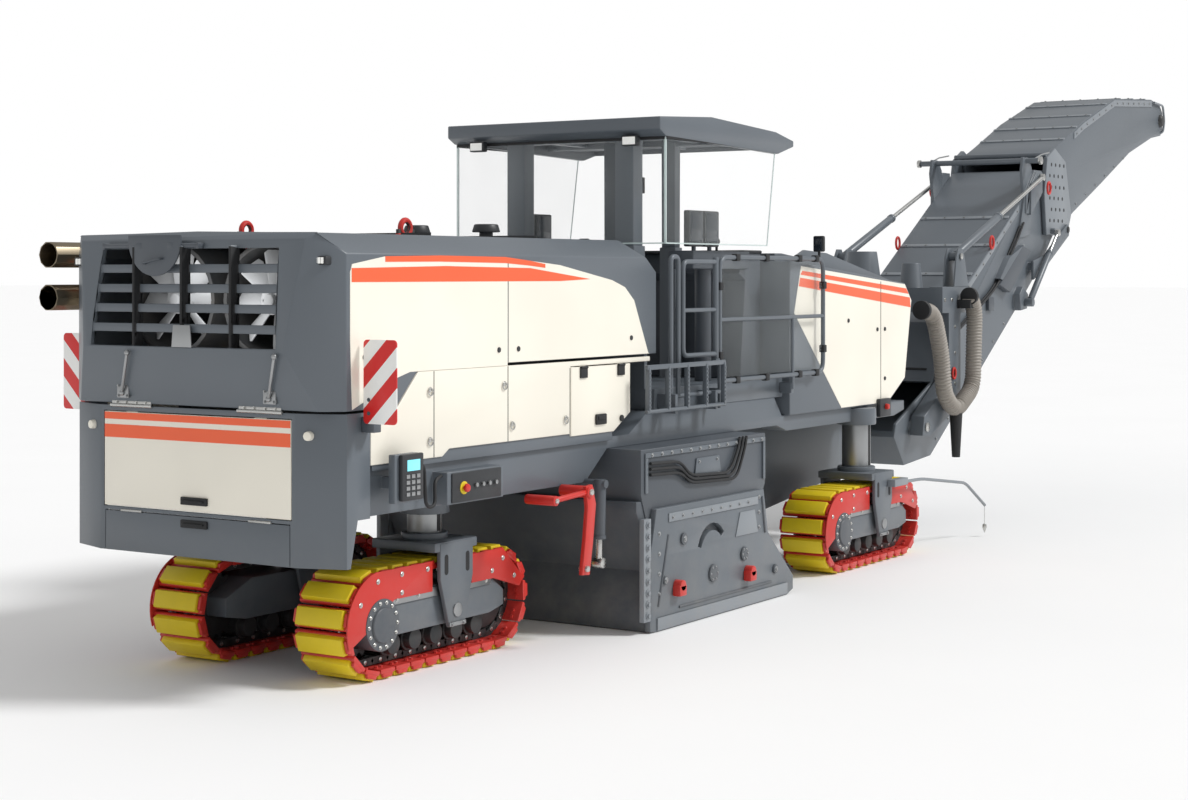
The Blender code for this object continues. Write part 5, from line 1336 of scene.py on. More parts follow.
# ------------------------------------------------------------------ milling group
@dataclass(frozen=True)
class MillingGroup:
    """Drum, its box, edge plates and what lifts them."""

    outer: float = 1.5553
    inner: float = 1.1353
    wall_y: tuple[float, float] = (-1.5, 1.08)

    def build(self) -> None:
        """Every piece of the milling group."""
        eased("drum_housing", SLATE_DARK, 0.006)
        eased("scraper", SLATE_DARK, 0.006)
        eased("primary_conveyor", SLATE, 0.006)
        painted("milling_drum", CHAIN)
        eased("chassis", SLATE, 0.006)
        for side, face in ((Side.RIGHT, -self.outer), (Side.LEFT, self.inner)):
            self.edge(side, face)
            self.wall(side)
        self.lever()

    def edge(self, side: Side, face: float) -> None:
        """One edge plate with its wear strips, lugs, bosses and bolts.

        Args:
            side: the plate's side.
            face: Y of its outer face.
        """
        s, body = (side.value, f"edge_plate_{side.word}")
        eased(body, SLATE, 0.006)
        heads = Shape().bolts([(3.7 + i * 0.262, face, 0.062) for i in range(9)], (0, s, 0), 0.015)
        heads.bolts([(3.64, face, 0.3 + i * 0.16) for i in range(4)], (0, s, 0), 0.013)
        heads.bolts([(5.33, face, 0.66 + i * 0.13) for i in range(3)], (0, s, 0), 0.013)
        heads.piece(f"edge_bolts_{side.word}", SATIN, body)
        wear = Shape().block((3.6, 5.85), (face, face + s * 0.012), (0.012, 0.112), 0.003)
        wear.block((3.78, 5.3), (face, face + s * 0.01), (0.86, 0.93), 0.003)
        wear.plate([(4.9, 0.62), (5.3, 0.62), (5.24, 0.82), (4.98, 0.82)], face, face + s * 0.008, bevel=0.002)
        wear.piece(f"edge_wear_{side.word}", SLATE_LIGHT, body)
        lugs = Shape()
        for x, z in ((3.9, 0.3), (5.1, 0.27)):
            lugs.block(about(x, 0.055), (face, face + s * 0.075), about(z, 0.045), 0.01)
            lugs.bar((x, face, z + 0.04), (x, face + s * 0.075, z + 0.04), 0.045, bevel=0.005)
        lugs.piece(f"edge_lugs_{side.word}", RED, body)
        rack = Shape().block((3.405, 3.515), (face, face - s * 0.045), (0.1, 0.915), 0.005)
        rack.bolts([(3.46, face, 0.15 + i * 0.09) for i in range(9)], (0, s, 0), 0.02, 0.022)
        rack.piece(f"bolt_rack_{side.word}", SLATE_LIGHT, body)
        ribs = Shape()
        for (x0, z0), (x1, z1) in (((3.62, 0.2), (3.78, 0.76)), ((5.44, 0.6), (5.38, 0.92)),
                ((3.95, 0.155), (5.55, 0.155))):
            ribs.bar((x0, face, z0), (x1, face, z1), 0.012, bevel=0.002)
        for x, z, r in ((4.02, 0.7, 0.05), (5.05, 0.46, 0.06), (3.72, 0.4, 0.034), (5.62, 0.26, 0.04),
                (4.51, 0.36, 0.075)):
            ribs.bar((x, face, z), (x, face + s * 0.018, z), r, bevel=0.004)
        ribs.piece(f"edge_bosses_{side.word}", SLATE_DARK, body)
        heads = Shape()
        for x, z, r in ((5.05, 0.46, 0.044), (4.51, 0.36, 0.056)):
            heads.bolts(circle((x, face + s * 0.018, z), r, 6), (0, s, 0), 0.007, 0.006)
        heads.bolts([(4.02, face + s * 0.018, 0.7), (3.72, face + s * 0.018, 0.4),
            (5.62, face + s * 0.018, 0.26)], (0, s, 0), 0.018)
        heads.bolts([(3.84 + i * 0.16, face + s * 0.01, 0.895) for i in range(9)], (0, s, 0), 0.01)
        heads.piece(f"boss_bolts_{side.word}", SATIN, body)

    def wall(self, side: Side) -> None:
        """Flanges, bolts and hose runs on one wall of the drum box.

        Args:
            side: the wall's side.
        """
        s, y = (side.value, self.wall_y[side is Side.LEFT])
        strips = Shape()
        for points in ([(3.5, 1.39), (5.53, 1.39), (5.53, 1.43), (3.5, 1.43)],
                [(3.5, 1.11), (3.54, 1.11), (3.54, 1.39), (3.5, 1.39)],
                [(5.49, 1.06), (5.53, 1.06), (5.53, 1.39), (5.49, 1.39)],
                [(4.28, 1.15), (4.74, 1.15), (4.7, 1.33), (4.32, 1.33)]):
            strips.plate(points, y, y + s * 0.014, bevel=0.004)
        strips.piece(f"box_flanges_{side.word}", SLATE)
        heads = Shape().bolts([(3.6 + i * 0.155, y + s * 0.014, 1.41) for i in range(13)], (0, s, 0), 0.012)
        heads.bolts([(4.33, y + s * 0.014, 1.18), (4.69, y + s * 0.014, 1.18), (4.66, y + s * 0.014, 1.3),
            (4.36, y + s * 0.014, 1.3)], (0, s, 0), 0.01)
        heads.piece(f"box_bolts_{side.word}", SATIN)
        lines = Shape()
        for i in range(3):
            lines.sweep(rounded([(3.56, y + s * 0.02, 1.345 - i * 0.045),
                (4.02, y + s * 0.03, 1.33 - i * 0.045), (4.18, y + s * 0.03, 1.2 - i * 0.03),
                (4.85 + i * 0.06, y + s * 0.03, 1.17 - i * 0.03), (5.0 + i * 0.06, y + s * 0.03, 1.36),
                (5.05 + i * 0.06, y + s * 0.02, 1.455)], 0.1, 5), 0.013, 10)
        lines.piece(f"box_lines_{side.word}", BLACK)

    def lever(self) -> None:
        """Lift levers and cylinders behind the drum box, on both sides."""
        arm, pins, barrels, rods = (Shape() for _ in range(4))
        for s in (-1, 1):
            arm.plate([(2.7, 1.235), (2.79, 1.245), (2.842, 1.09), (2.8, 0.8), (2.752, 0.556), (2.646, 0.566),
                (2.69, 0.82), (2.724, 1.07)], s * 1.432, s * 1.468, bevel=0.006)
            arm.bar((2.27, s * 1.45, 1.166), (2.74, s * 1.45, 1.19), 0.022, bevel=0.003)
            arm.bar((2.275, s * 1.21, 1.166), (2.275, s * 1.48, 1.166), 0.038, bevel=0.005)
            arm.bar((2.75, s * 1.21, 1.19), (2.75, s * 1.48, 1.19), 0.046, bevel=0.005)
            pins.bar((2.75, s * 1.2, 1.19), (2.75, s * 1.495, 1.19), 0.024, bevel=0.004)
            pins.bar((2.7, s * 1.41, 0.61), (2.7, s * 1.49, 0.61), 0.024, bevel=0.004)
            pins.bar((2.275, s * 1.2, 1.166), (2.275, s * 1.495, 1.166), 0.018, bevel=0.004)
            barrels.bar((3.104, s * 1.335, 1.25), (3.092, s * 1.335, 0.8), 0.048, bevel=0.006)
            barrels.bar((3.104, s * 1.14, 1.215), (3.104, s * 1.395, 1.215), 0.034, bevel=0.004)
            barrels.bar((3.092, s * 1.335, 0.815), (3.091, s * 1.335, 0.785), 0.054, bevel=0.004)
            rods.bar((3.092, s * 1.335, 0.8), (3.089, s * 1.335, 0.62), 0.026, bevel=0.003)
            rods.bar((3.089, s * 1.29, 0.6), (3.089, s * 1.38, 0.6), 0.042, bevel=0.006)
        arm.piece("drum_levers", RED)
        pins.piece("lever_pins", STEEL)
        barrels.piece("drum_cylinders", SLATE_DARK)
        rods.piece("drum_rods", STEEL)


# ------------------------------------------------------------------ platform and canopy
@dataclass(frozen=True)
class Platform:
    """Deck, rails, gates, steps and the operator's desk."""

    rail_y: float = 1.32
    rail_r: float = 0.021
    step_y: float = 1.395
    tube_r: float = 0.018

    def rails(self) -> None:
        """Rails with clear panels, gates and steps on both sides."""
        for side in Side:
            s, word, y = (side.value, side.word, side.value * self.rail_y)
            tubes = Shape()
            tubes.sweep(rounded([(6.05, y, 3.0), (7.06, y, 3.0), (7.06, y, 1.93), (5.05, y, 1.93),
                (5.05, y, 3.0), (6.05, y, 3.0)], 0.12, 6), self.rail_r, 14)
            tubes.bar((5.05, y, 2.46), (7.06, y, 2.46), self.tube_r, sides=14).bar((5.05, y, 1.7),
                (5.05, y, 2.1), self.tube_r, sides=14)
            tubes.bar((6.425, y, 1.8), (6.425, y, 2.46), self.tube_r, sides=14).bar((4.22, y, 1.84),
                (5.05, y, 1.84), 0.019, sides=14)
            tubes.sweep(rounded([(4.22, y, 1.8), (4.22, y, 3.0), (4.34, y, 3.0), (4.34, y, 1.835)], 0.05, 5),
                self.rail_r, 14)
            tubes.block((4.955, 5.05), about(y, 0.02), (2.105, 2.1297), 0.003)
            for x0, x1, z0, z1 in ((5.032, 5.073, 1.76, 1.87), (6.4, 6.45, 1.76, 1.86)):
                tubes.block((x0, x1), (s * 1.2003, y), (z0, z1), 0.005)
            for x in (4.2, 4.88):
                tubes.block((x, x + 0.04), (s * 1.2003, s * 1.3767), (1.7, 1.86), 0.005)
            tubes.piece(f"rail_tubes_{word}", SLATE, "machine", (f"railing_{word}",))
            Shape().block((5.09, 7.02), about(y, 0.003), (1.96, 2.975), 0.001).piece(f"rail_sheet_{word}",
                CLEAR)
            clamps = Shape()
            for x in (5.35, 5.9, 6.55, 6.9):
                for z in (1.93, 3.0):
                    clamps.block(about(x, 0.035), about(y, 0.028), about(z, 0.032), 0.008)
            for z in (2.15, 2.75):
                for x in (5.05, 7.06):
                    clamps.block(about(x, 0.03), about(y, 0.028), about(z, 0.035), 0.008)
            clamps.piece(f"rail_clamps_{word}", BLACK)
            gate = Shape().bar((4.98, y, 2.13), (4.98, y, 3.0), 0.026, sides=20, bevel=0.004)
            gate.sweep(rounded([(4.97, y, 2.96), (4.42, y, 2.96), (4.42, y, 2.17), (4.97, y, 2.17)], 0.07, 6),
                self.rail_r, 14)
            gate.bar((4.42, y, 2.55), (4.97, y, 2.55), self.tube_r, sides=14)
            gate.piece(f"gate_loop_{word}", SLATE, f"gate_{word}", (f"gate_{word}",))
            yy = s * self.step_y
            step = Shape().bar((3.705, yy, 1.74), (5.0, yy, 1.74), self.tube_r, sides=16, bevel=0.003)
            step.block((3.705, 5.0), about(yy, 0.016), (2.08, 2.12), 0.006)
            for i in range(5):
                x = 3.72 + i * 0.3125
                step.block((x, x + 0.03), about(yy, 0.02), (1.74, 2.1), 0.004)
                for k in range(9):
                    step.block((x + 0.006, x + 0.024), (yy + s * 0.018, yy + s * 0.026),
                        (1.775 + k * 0.034, 1.789 + k * 0.034), 0.002)
            step.piece(f"step_bars_{word}", SLATE, f"side_step_{word}", (f"side_step_{word}",))

    def desk(self) -> None:
        """Dash, arm rests, displays and keypads."""
        eased("platform", SLATE, 0.006)
        eased("operator_console", SLATE_DARK, 0.01)
        boxes, screens, knobs = (Shape(), Shape(), Shape())
        for s in (-1, 1):
            y = s * 0.9 - 0.085
            for x in (5.06, 5.34):
                boxes.block((x - 0.004, x + 0.254), about(y, 0.03), (3.096, 3.414), 0.012)
                for f in (-1, 1):
                    screens.block((x + 0.018, x + 0.232), (y + f * 0.029, y + f * 0.032), (3.135, 3.395), 0.001)
            knobs.bar((5.75, s * 0.9, 3.05), (5.75, s * 0.9, 3.13), 0.012).ball((5.75, s * 0.9, 3.15), 0.032)
            for i in range(4):
                for k in range(2):
                    knobs.bar((5.86 + i * 0.06, s * 0.9 - 0.05 + k * 0.1, 3.055),
                        (5.86 + i * 0.06, s * 0.9 - 0.05 + k * 0.1, 3.07), 0.014, bevel=0.003)
        boxes.block((6.1, 6.46), (-0.99, 0.99), (3.045, 3.075), 0.012)
        boxes.piece("desk_displays", PLASTIC)
        screens.piece("display_screens", DISPLAY)
        knobs.piece("desk_knobs", BLACK)

    def mirrors(self) -> None:
        """Mirrors and small cameras on stalks at the deck's corners."""
        stalks, glasses = (Shape(), Shape())
        for s in (-1, 1):
            stalks.bar((6.98, s * 1.32, 3.01), (6.98, s * 1.32, 3.07), 0.012)
            stalks.block((6.955, 7.005), about(s * 1.32, 0.055), (3.065, 3.215), 0.014)
            glasses.block((6.948, 6.957), about(s * 1.32, 0.045), (3.078, 3.202), 0.003)
        stalks.piece("mirror_stalks", BLACK)
        glasses.piece("mirror_faces", DISPLAY)

    def build(self) -> None:
        """Every piece of the platform."""
        self.rails()
        self.desk()
        self.mirrors()


@dataclass(frozen=True)
class Canopy:
    """Roof tray, its posts and screens."""

    body: str = "canopy_group"
    lamp_y: float = 0.8
    beam_y: float = 0.62

    def build(self) -> None:
        """Every piece of the canopy."""
        eased("canopy", SLATE, 0.01)
        painted("canopy_glass", CLEAR)
        body = self.body
        trim = Shape()
        for s in (-1, 1):
            trim.block((4.52, 6.5), (s * 1.096, s * 1.108), (4.0, 4.03), 0.003)
        trim.block((4.505, 4.52), (-1.09, 1.09), (4.0, 4.03), 0.003)
        trim.block((4.86, 4.9), (-0.66, -0.54), (3.56, 3.7), 0.006)
        trim.piece("canopy_trim", BLACK, body)
        edges = Shape()
        for s in (-1, 1):
            edges.block((4.52, 6.36), (s * 1.083, s * 1.097), (3.112, 3.124), 0.002)
            edges.bar((6.362, s * 1.09, 3.12), (6.52, s * 1.09, 4.01), 0.006, sides=10)
            edges.block((4.511, 4.529), (s * 1.08, s * 1.099), (3.12, 4.02), 0.002)
        edges.block((4.513, 4.527), (-1.09, 1.09), (3.112, 3.124), 0.002)
        edges.piece("glass_edges", EDGE, body)
        beams = Shape()
        for y in (-self.beam_y, 0.0, self.beam_y):
            beams.block((4.58, 6.7), about(y, 0.035), (4.055, 4.115), 0.006)
        for x in (5.3, 6.3):
            beams.block(about(x, 0.03), (-1.02, 1.02), (4.05, 4.112), 0.006)
        beams.piece("roof_beams", SLATE_LIGHT, body)
        lamps, lenses = (Shape(), Shape())
        for y in (-self.lamp_y, self.lamp_y):
            lamps.block((4.4, 4.47), about(y, 0.075), (3.945, 4.035), 0.01)
            lenses.block((4.394, 4.402), about(y, 0.062), (3.957, 4.023), 0.003)
        lamps.piece("roof_lamps", PLASTIC, body)
        lenses.piece("roof_lamp_lenses", LENS, body)


# ------------------------------------------------------------------ front and conveyor
@dataclass(frozen=True)
class FrontBodywork:
    """Bodywork over the front crawlers, slate behind and cream in front."""

    half: float = 1.252
    stop: tuple[float, float] = (8.53, 1.52)

    def build(self) -> None:
        """Every piece of the front bodywork."""
        eased("front_bodywork", SLATE, 0.01)
        panels, stripes, seams = (Shape(), Shape(), Shape())
        for s in (-1, 1):
            near, far = (s * (self.half - 0.004), s * (self.half + 0.003))
            panels.plate([(6.733, 2.93), (6.592, 2.493), (7.6, 1.556), (8.676, 1.556), (9.096, 1.786),
                (9.262, 2.584), (9.1, 2.75)], near, far, bevel=0.002, segments=1)
            over = s * (self.half + 0.0045)
            stripes.plate([(6.757, 2.886), (9.131, 2.706), (9.19, 2.65), (6.72, 2.85)], near, over)
            stripes.plate([(6.712, 2.822), (9.222, 2.612), (9.24, 2.51), (6.684, 2.742)], near, over)
            seams.block((8.5, 8.508), (near, s * (self.half + 0.0052)), (1.58, 2.78))
            for x, z in ((7.75, 2.4), (8.42, 2.3), (8.6, 2.3), (8.6, 1.8)):
                seams.bar((x, s * self.half, z), (x, s * (self.half + 0.012), z), 0.02, bevel=0.003)
        panels.piece("front_panels", CREAM)
        stripes.piece("front_stripes", ORANGE)
        seams.piece("front_latches", PLASTIC)
        cap = Shape()
        for s in (-1, 1):
            cap.plate([(6.74, 2.955), (7.134, 3.085), (7.6, 3.06), (9.06, 2.795), (9.06, 2.765), (6.74, 2.935)],
                s * 1.06, s * 1.1, bevel=0.008)
        cap.piece("front_cap_rails", SLATE)
        switch, stop = (Shape(), Shape())
        for s in (-1, 1):
            switch.block((8.4, 8.66), (s * self.half, s * 1.3), (1.42, 1.6), 0.01)
            stop.bar((self.stop[0], s * 1.3, self.stop[1]), (self.stop[0], s * 1.335, self.stop[1]), 0.03,
                0.026, bevel=0.005)
        switch.piece("front_switch_boxes", PLASTIC)
        stop.piece("front_stops", RED)


@dataclass(frozen=True)
class Swivel:
    """Slewing frame with its dust hose and pins."""

    slew_x: float = 10.75
    hose_y: float = -0.905
    hose_r: float = 0.096
    rib_pitch: float = 0.036
    pointer_y: float = -1.524
    bob_x: float = 10.605

    def build(self) -> None:
        """Every piece of the swivel."""
        eased("swivel_frame", SLATE, 0.006)
        y = self.hose_y
        path = rounded([(10.34, y, 2.46), (10.66, y, 2.42), (10.88, y, 1.95), (10.95, y, 1.5), (11.28, y, 1.3),
            (11.8, y, 1.55), (11.86, y, 2.45), (11.7, y, 2.6)], 0.17, 6)
        Shape().hose(path, self.hose_r, self.rib_pitch).piece("dust_hose", HOSE, "swivel", ("vacuum_hose",))
        outlet = Shape().bar((11.3, y, 1.36), (11.3, y, 0.78), 0.078, 0.046, sides=28, bevel=0.004)
        for x, z in ((10.345, 2.46), (11.7, 2.598)):
            outlet.bar((x - 0.03, y, z), (x + 0.03, y, z), 0.104, bevel=0.004)
        outlet.block((11.62, 11.8), (y - 0.04, -0.7853), (2.46, 2.56), 0.004)
        outlet.piece("hose_outlet", BLACK, "swivel")
        pins = Shape()
        for s in (-1, 1):
            for x, z, r in ((self.slew_x, 1.15, 0.052), (11.73, 3.06, 0.036)):
                pins.bar((x, s * 0.785, z), (x, s * 0.805, z), r, bevel=0.005)
            pins.bolts([(11.27 + i * 0.2, s * 0.785, 2.56) for i in range(3)], (0, s, 0), 0.017)
            pins.bolts([(11.56, s * 0.785, z) for z in (1.6, 1.95, 2.25)], (0, s, 0), 0.015)
        pins.piece("swivel_pins", STEEL, "swivel")
        bow = circle((11.5, -0.8, 1.72), 0.045, 20, tall=0.06, closed=True)
        Shape().sweep(bow, 0.013, 10).piece("swivel_shackle", RED, "swivel")
        lines = Shape()
        for i, dz in enumerate((0.0, 0.05)):
            lines.sweep(rounded([(9.46, -0.2 - i * 0.05, 2.5 + dz), (10.2, -0.3 - i * 0.05, 2.66 + dz),
                (10.52, -0.34 - i * 0.05, 2.6 + dz)], 0.2, 6), 0.018, 12)
        lines.piece("carrier_lines", BLACK)
        pointer = Shape().sweep(rounded([(8.41, self.pointer_y, 0.78), (8.91, self.pointer_y, 0.77),
            (10.06, self.pointer_y, 0.63), (10.61, self.pointer_y, 0.34)], 0.1, 5), 0.016, 14)
        pointer.block((8.19, 8.51), (-1.554, -1.4695), (0.75, 0.82), 0.006)
        pointer.piece("pointer_rod", SLATE_LIGHT, "track_front_right", ("track_pointer",))
        bob = Shape().bar((self.bob_x, self.pointer_y, 0.36), (self.bob_x, self.pointer_y, 0.13), 0.0035,
            sides=8)
        bob.bar((self.bob_x, self.pointer_y, 0.135), (self.bob_x, self.pointer_y, 0.1), 0.02, 0.026, sides=24,
            bevel=0.002)
        bob.bar((self.bob_x, self.pointer_y, 0.1), (self.bob_x, self.pointer_y, 0.04), 0.026, 0.003, sides=24)
        bob.piece("plumb_bob", STEEL, "track_front_right")


@dataclass(frozen=True)
class DischargeConveyor:
    """Lower and folding upper casings with their cylinders."""

    half: float = 0.6
    slope: float = 30.6
    cover_foot: tuple[float, float] = (12.611, 2.883)
    tip: tuple[float, float] = (19.93, 5.15)
    lift_base: tuple[float, float] = (11.73, 3.06)
    lift_eye: tuple[float, float] = (14.62, 4.09)
    fold_base: tuple[float, float] = (14.05, 2.5)
    fold_eye: tuple[float, float] = (15.07, 3.39)

    def cover_z(self, x: float) -> float:
        """Height of the lower cover's edge at a station."""
        return self.cover_foot[1] + (x - self.cover_foot[0]) * math.tan(math.radians(self.slope))

    def sides(self) -> None:
        """Lower and upper casings with side strips and bolt rows."""
        eased("lower_conveyor", SLATE, 0.007)
        eased("upper_conveyor", SLATE, 0.007)
        heads, strips = (Shape(), Shape())
        for s in (-1, 1):
            y = s * self.half
            strips.plate([(11.66, self.cover_z(11.66) - 0.014), (14.05, self.cover_z(14.05) - 0.014),
                (14.05, self.cover_z(14.05) - 0.1), (11.66, self.cover_z(11.66) - 0.1)], y, y + s * 0.01,
                bevel=0.003)
            heads.bolts([(11.74 + i * 0.225, y + s * 0.01, self.cover_z(11.74 + i * 0.225) - 0.058)
                for i in range(11)], (0, s, 0), 0.013)
            (x0, z0), (x1, z1) = ((11.45, 0.96), (14.25, 2.67))
            heads.bolts([(x, y, z0 + (x - x0) * (z1 - z0) / (x1 - x0))
                for x in (11.45 + i * 0.35 for i in range(7))], (0, s, 0), 0.013)
        strips.piece("cover_strips", SLATE_LIGHT, "lower_belt")
        heads.piece("lower_bolts", SATIN, "lower_belt")
        heads, strips = (Shape(), Shape())
        edge = [(16.12, 4.71), (16.5, 4.86), (17.8, 5.265), (19.5, 5.375)]
        for s in (-1, 1):
            y = s * (self.half - 0.008)
            strips.plate([*[(x, z + 0.045) for x, z in edge], *[(x, z - 0.045) for x, z in reversed(edge)]], y,
                y + s * 0.01, bevel=0.003)
            for (x0, z0), (x1, z1) in zip(edge, edge[1:]):
                count = max(2, round((x1 - x0) / 0.24))
                heads.bolts([(x0 + (x1 - x0) * (i + 0.5) / count, y + s * 0.01,
                    z0 + (z1 - z0) * (i + 0.5) / count) for i in range(count)], (0, s, 0), 0.013)
            heads.bolts([(x, y, 3.8 + (x - 16.2) * 0.355) for x in (16.2 + i * 0.4 for i in range(6))],
                (0, s, 0), 0.013)
        strips.piece("upper_strips", SLATE_LIGHT, "upper_belt")
        heads.piece("upper_bolts", SATIN, "upper_belt")

    def covers(self) -> None:
        """Ribs and bolts across the covers of both casings."""
        for body, name, line in (("lower_belt", "lower_cover", [(x, self.cover_z(x)) for x in (11.66, 14.05)]),
                ("upper_belt", "upper_cover", [(15.52, 4.55), (16.5, 4.93), (17.8, 5.33), (19.5, 5.44)])):
            ribs, caps = (Shape(), Shape())
            for (x0, z0), (x1, z1) in zip(line, line[1:]):
                way = Vector((x1 - x0, 0, z1 - z0))
                up = Vector((-way.z, 0, way.x)).normalized()
                count = max(1, round(way.length / 0.62))
                for i in range(count):
                    at = Vector((x0, 0, z0)) + way * ((i + 0.5) / count)
                    ends = [at - way.normalized() * 0.03, at + way.normalized() * 0.03]
                    ribs.plate([(e.x + up.x * h, e.z + up.z * h) for e,
                        h in ((ends[0], -0.002), (ends[1], -0.002), (ends[1], 0.012), (ends[0], 0.012))],
                        -0.588, 0.588, bevel=0.004)
                    caps.bolts([at + up * 0.012 + Vector((0, y, 0)) for y in (-0.52, -0.26, 0.0, 0.26, 0.52)],
                        up, 0.012)
            ribs.piece(f"{name}_ribs", SLATE_LIGHT, body)
            caps.piece(f"{name}_bolts", SATIN, body)

    def drive(self) -> None:
        """Drive drum, its guard and the lagging under both casings."""
        x, z = self.tip
        tip = Shape().bar((x, -0.6, z), (x, 0.6, z), 0.085, sides=36, bevel=0.006)
        for s in (-1, 1):
            tip.bar((x, s * 0.585, z), (x, s * 0.64, z), 0.1, 0.07, bevel=0.008)
        tip.piece("drive_drum", CHAIN, "upper_belt")
        guard = Shape().sweep(rounded([(19.55, -0.62, 5.4), (19.98, -0.62, 5.38), (20.05, -0.62, 5.15),
            (19.98, -0.62, 4.97), (19.98, 0.62, 4.97), (20.05, 0.62, 5.15), (19.98, 0.62, 5.38),
            (19.55, 0.62, 5.4)], 0.06), 0.016, 12)
        guard.piece("tip_guard", SLATE_LIGHT, "upper_belt")
        for body, name, points in (("lower_belt", "lower_lagging", ((11.4, 1.75), (14.6, 3.62))),
                ("upper_belt", "upper_lagging", ((15.75, 3.86), (19.7, 5.03)))):
            (x0, z0), (x1, z1) = points
            belt = Shape().plate([(x0, z0), (x1, z1), (x1, z1 + 0.014), (x0, z0 + 0.014)], -0.5, 0.5,
                bevel=0.003)
            belt.piece(name, BLACK, body)

    def brackets(self) -> None:
        """Fold brackets, ropes, bars and shackles."""
        plates, hole_shade_and_pin = (Shape(), Shape())
        outline = [(14.9, 3.36), (15.68, 3.36), (15.84, 3.64), (15.62, 4.34), (15.22, 4.5), (14.93, 4.36),
            (14.82, 3.88)]
        for s in (-1, 1):
            y = s * 0.6552
            plates.plate([(u * 0.985 + 0.23, v * 0.985 + 0.058) for u, v in outline], y - s * 0.004,
                y + s * 0.004, bevel=0.003)
            # painted shade: thin black discs on each plate's face stand for its holes; the larger black round
            # added after them is a pin end
            for i in range(5):
                for k in range(6):
                    x, z = (15.02 + i * 0.155 + k % 2 * 0.06, 3.55 + k * 0.145)
                    if x < 15.62 and z < 4.32:
                        hole_shade_and_pin.bar((x, y, z), (x, y + s * 0.0055, z), 0.024, sides=16)
            hole_shade_and_pin.bar((15.62, y, 3.44), (15.62, s * 0.7, 3.44), 0.045, bevel=0.006)
        plates.piece("fold_plates", SLATE_LIGHT, "upper_belt")
        hole_shade_and_pin.piece("fold_holes", BLACK, "upper_belt")
        ropes, links, bows = (Shape(), Shape(), Shape())
        for s in (-1, 1):
            ropes.sweep([(14.242, s * 0.7, 4.285), (14.6, s * 0.7, 4.38), (14.9, s * 0.69, 4.42)], 0.009, 10)
            links.bar((14.242, s * 0.8, 4.285), (14.242, s * 0.84, 4.285), 0.05, bevel=0.005)
            for centre in ((14.6, s * 0.8, 3.95), (13.113, s * 0.62, 3.24)):
                bows.sweep(circle(centre, 0.055, 20, tall=0.075, closed=True), 0.015, 10)
        ropes.piece("stay_ropes", SATIN, "lower_belt")
        links.piece("bar_caps", STEEL, "lower_belt")
        bows.piece("red_shackles", RED, "lower_belt")
        boxes = Shape()
        for s in (-1, 1):
            boxes.plate([(14.008, 3.209), (13.223, 2.726), (13.567, 2.628), (14.279, 3.147)], s * 0.6,
                s * 0.684, bevel=0.008)
            boxes.block((12.97, 13.14), (s * 0.6, s * 0.64), (2.41, 2.57), 0.008)
        boxes.piece("side_boxes", SLATE_DARK, "lower_belt")
        hoses = Shape()
        for s, dy in ((-1, 0.0), (-1, 0.035), (1, 0.0)):
            y = s * (0.617 + dy)
            hoses.sweep(rounded([(11.6, y, 2.05), (12.4, y, 2.36), (13.2, y, 2.7), (13.9, y, 3.3),
                (14.1, y, 3.5)], 0.25, 5), 0.014, 10)
        hoses.piece("belt_lines", BLACK, "lower_belt")

    def cylinder(self, kind: str, base: tuple[float, float], eye: tuple[float, float], y: float,
            barrel_r: float, rod_r: float, reach: float) -> None:
        """Barrels and rods of one pair of cylinders.

        Args:
            kind: "lift" or "fold".
            base: x and z of the barrel's pin.
            eye: x and z of the rod's pin.
            y: distance from the middle of the machine.
            barrel_r: barrel radius.
            rod_r: rod radius.
            reach: length of the barrel from its pin.
        """
        start, end = (Vector((base[0], 0, base[1])), Vector((eye[0], 0, eye[1])))
        way = (end - start).normalized()
        for side in Side:
            at = Vector((0, side.value * y, 0))
            barrel = Shape().bar(start + way * 0.05 + at, start + way * reach + at, barrel_r, sides=36,
                bevel=0.004)
            barrel.bar(start + way * (reach - 0.05) + at, start + way * (reach - 0.002) + at, barrel_r + 0.005,
                sides=36, bevel=0.003)
            barrel.bar(start + at - Vector((0, 0.054, 0)), start + at + Vector((0, 0.054, 0)), 0.052, sides=32,
                bevel=0.005)
            barrel.piece(f"{kind}_shell_{side.word}", SLATE, f"{kind}_barrel_{side.word}",
                (f"{kind}_barrel_{side.word}",))
            stem = Shape().bar(start + way * (reach - 0.58) + at, end - way * 0.03 + at, rod_r, sides=28)
            stem.bar(end + at - Vector((0, 0.028, 0)), end + at + Vector((0, 0.028, 0)), 0.045, sides=32,
                bevel=0.004)
            stem.piece(f"{kind}_stem_{side.word}", STEEL, f"{kind}_rod_{side.word}",
                (f"{kind}_rod_{side.word}",))

    def build(self) -> None:
        """Every piece of the discharge conveyor."""
        self.sides()
        self.covers()
        self.drive()
        self.brackets()
        self.cylinder("lift", self.lift_base, self.lift_eye, 0.705, 0.048, 0.026, 1.48)
        self.cylinder("fold", self.fold_base, self.fold_eye, 0.745, 0.04, 0.02, 0.98)


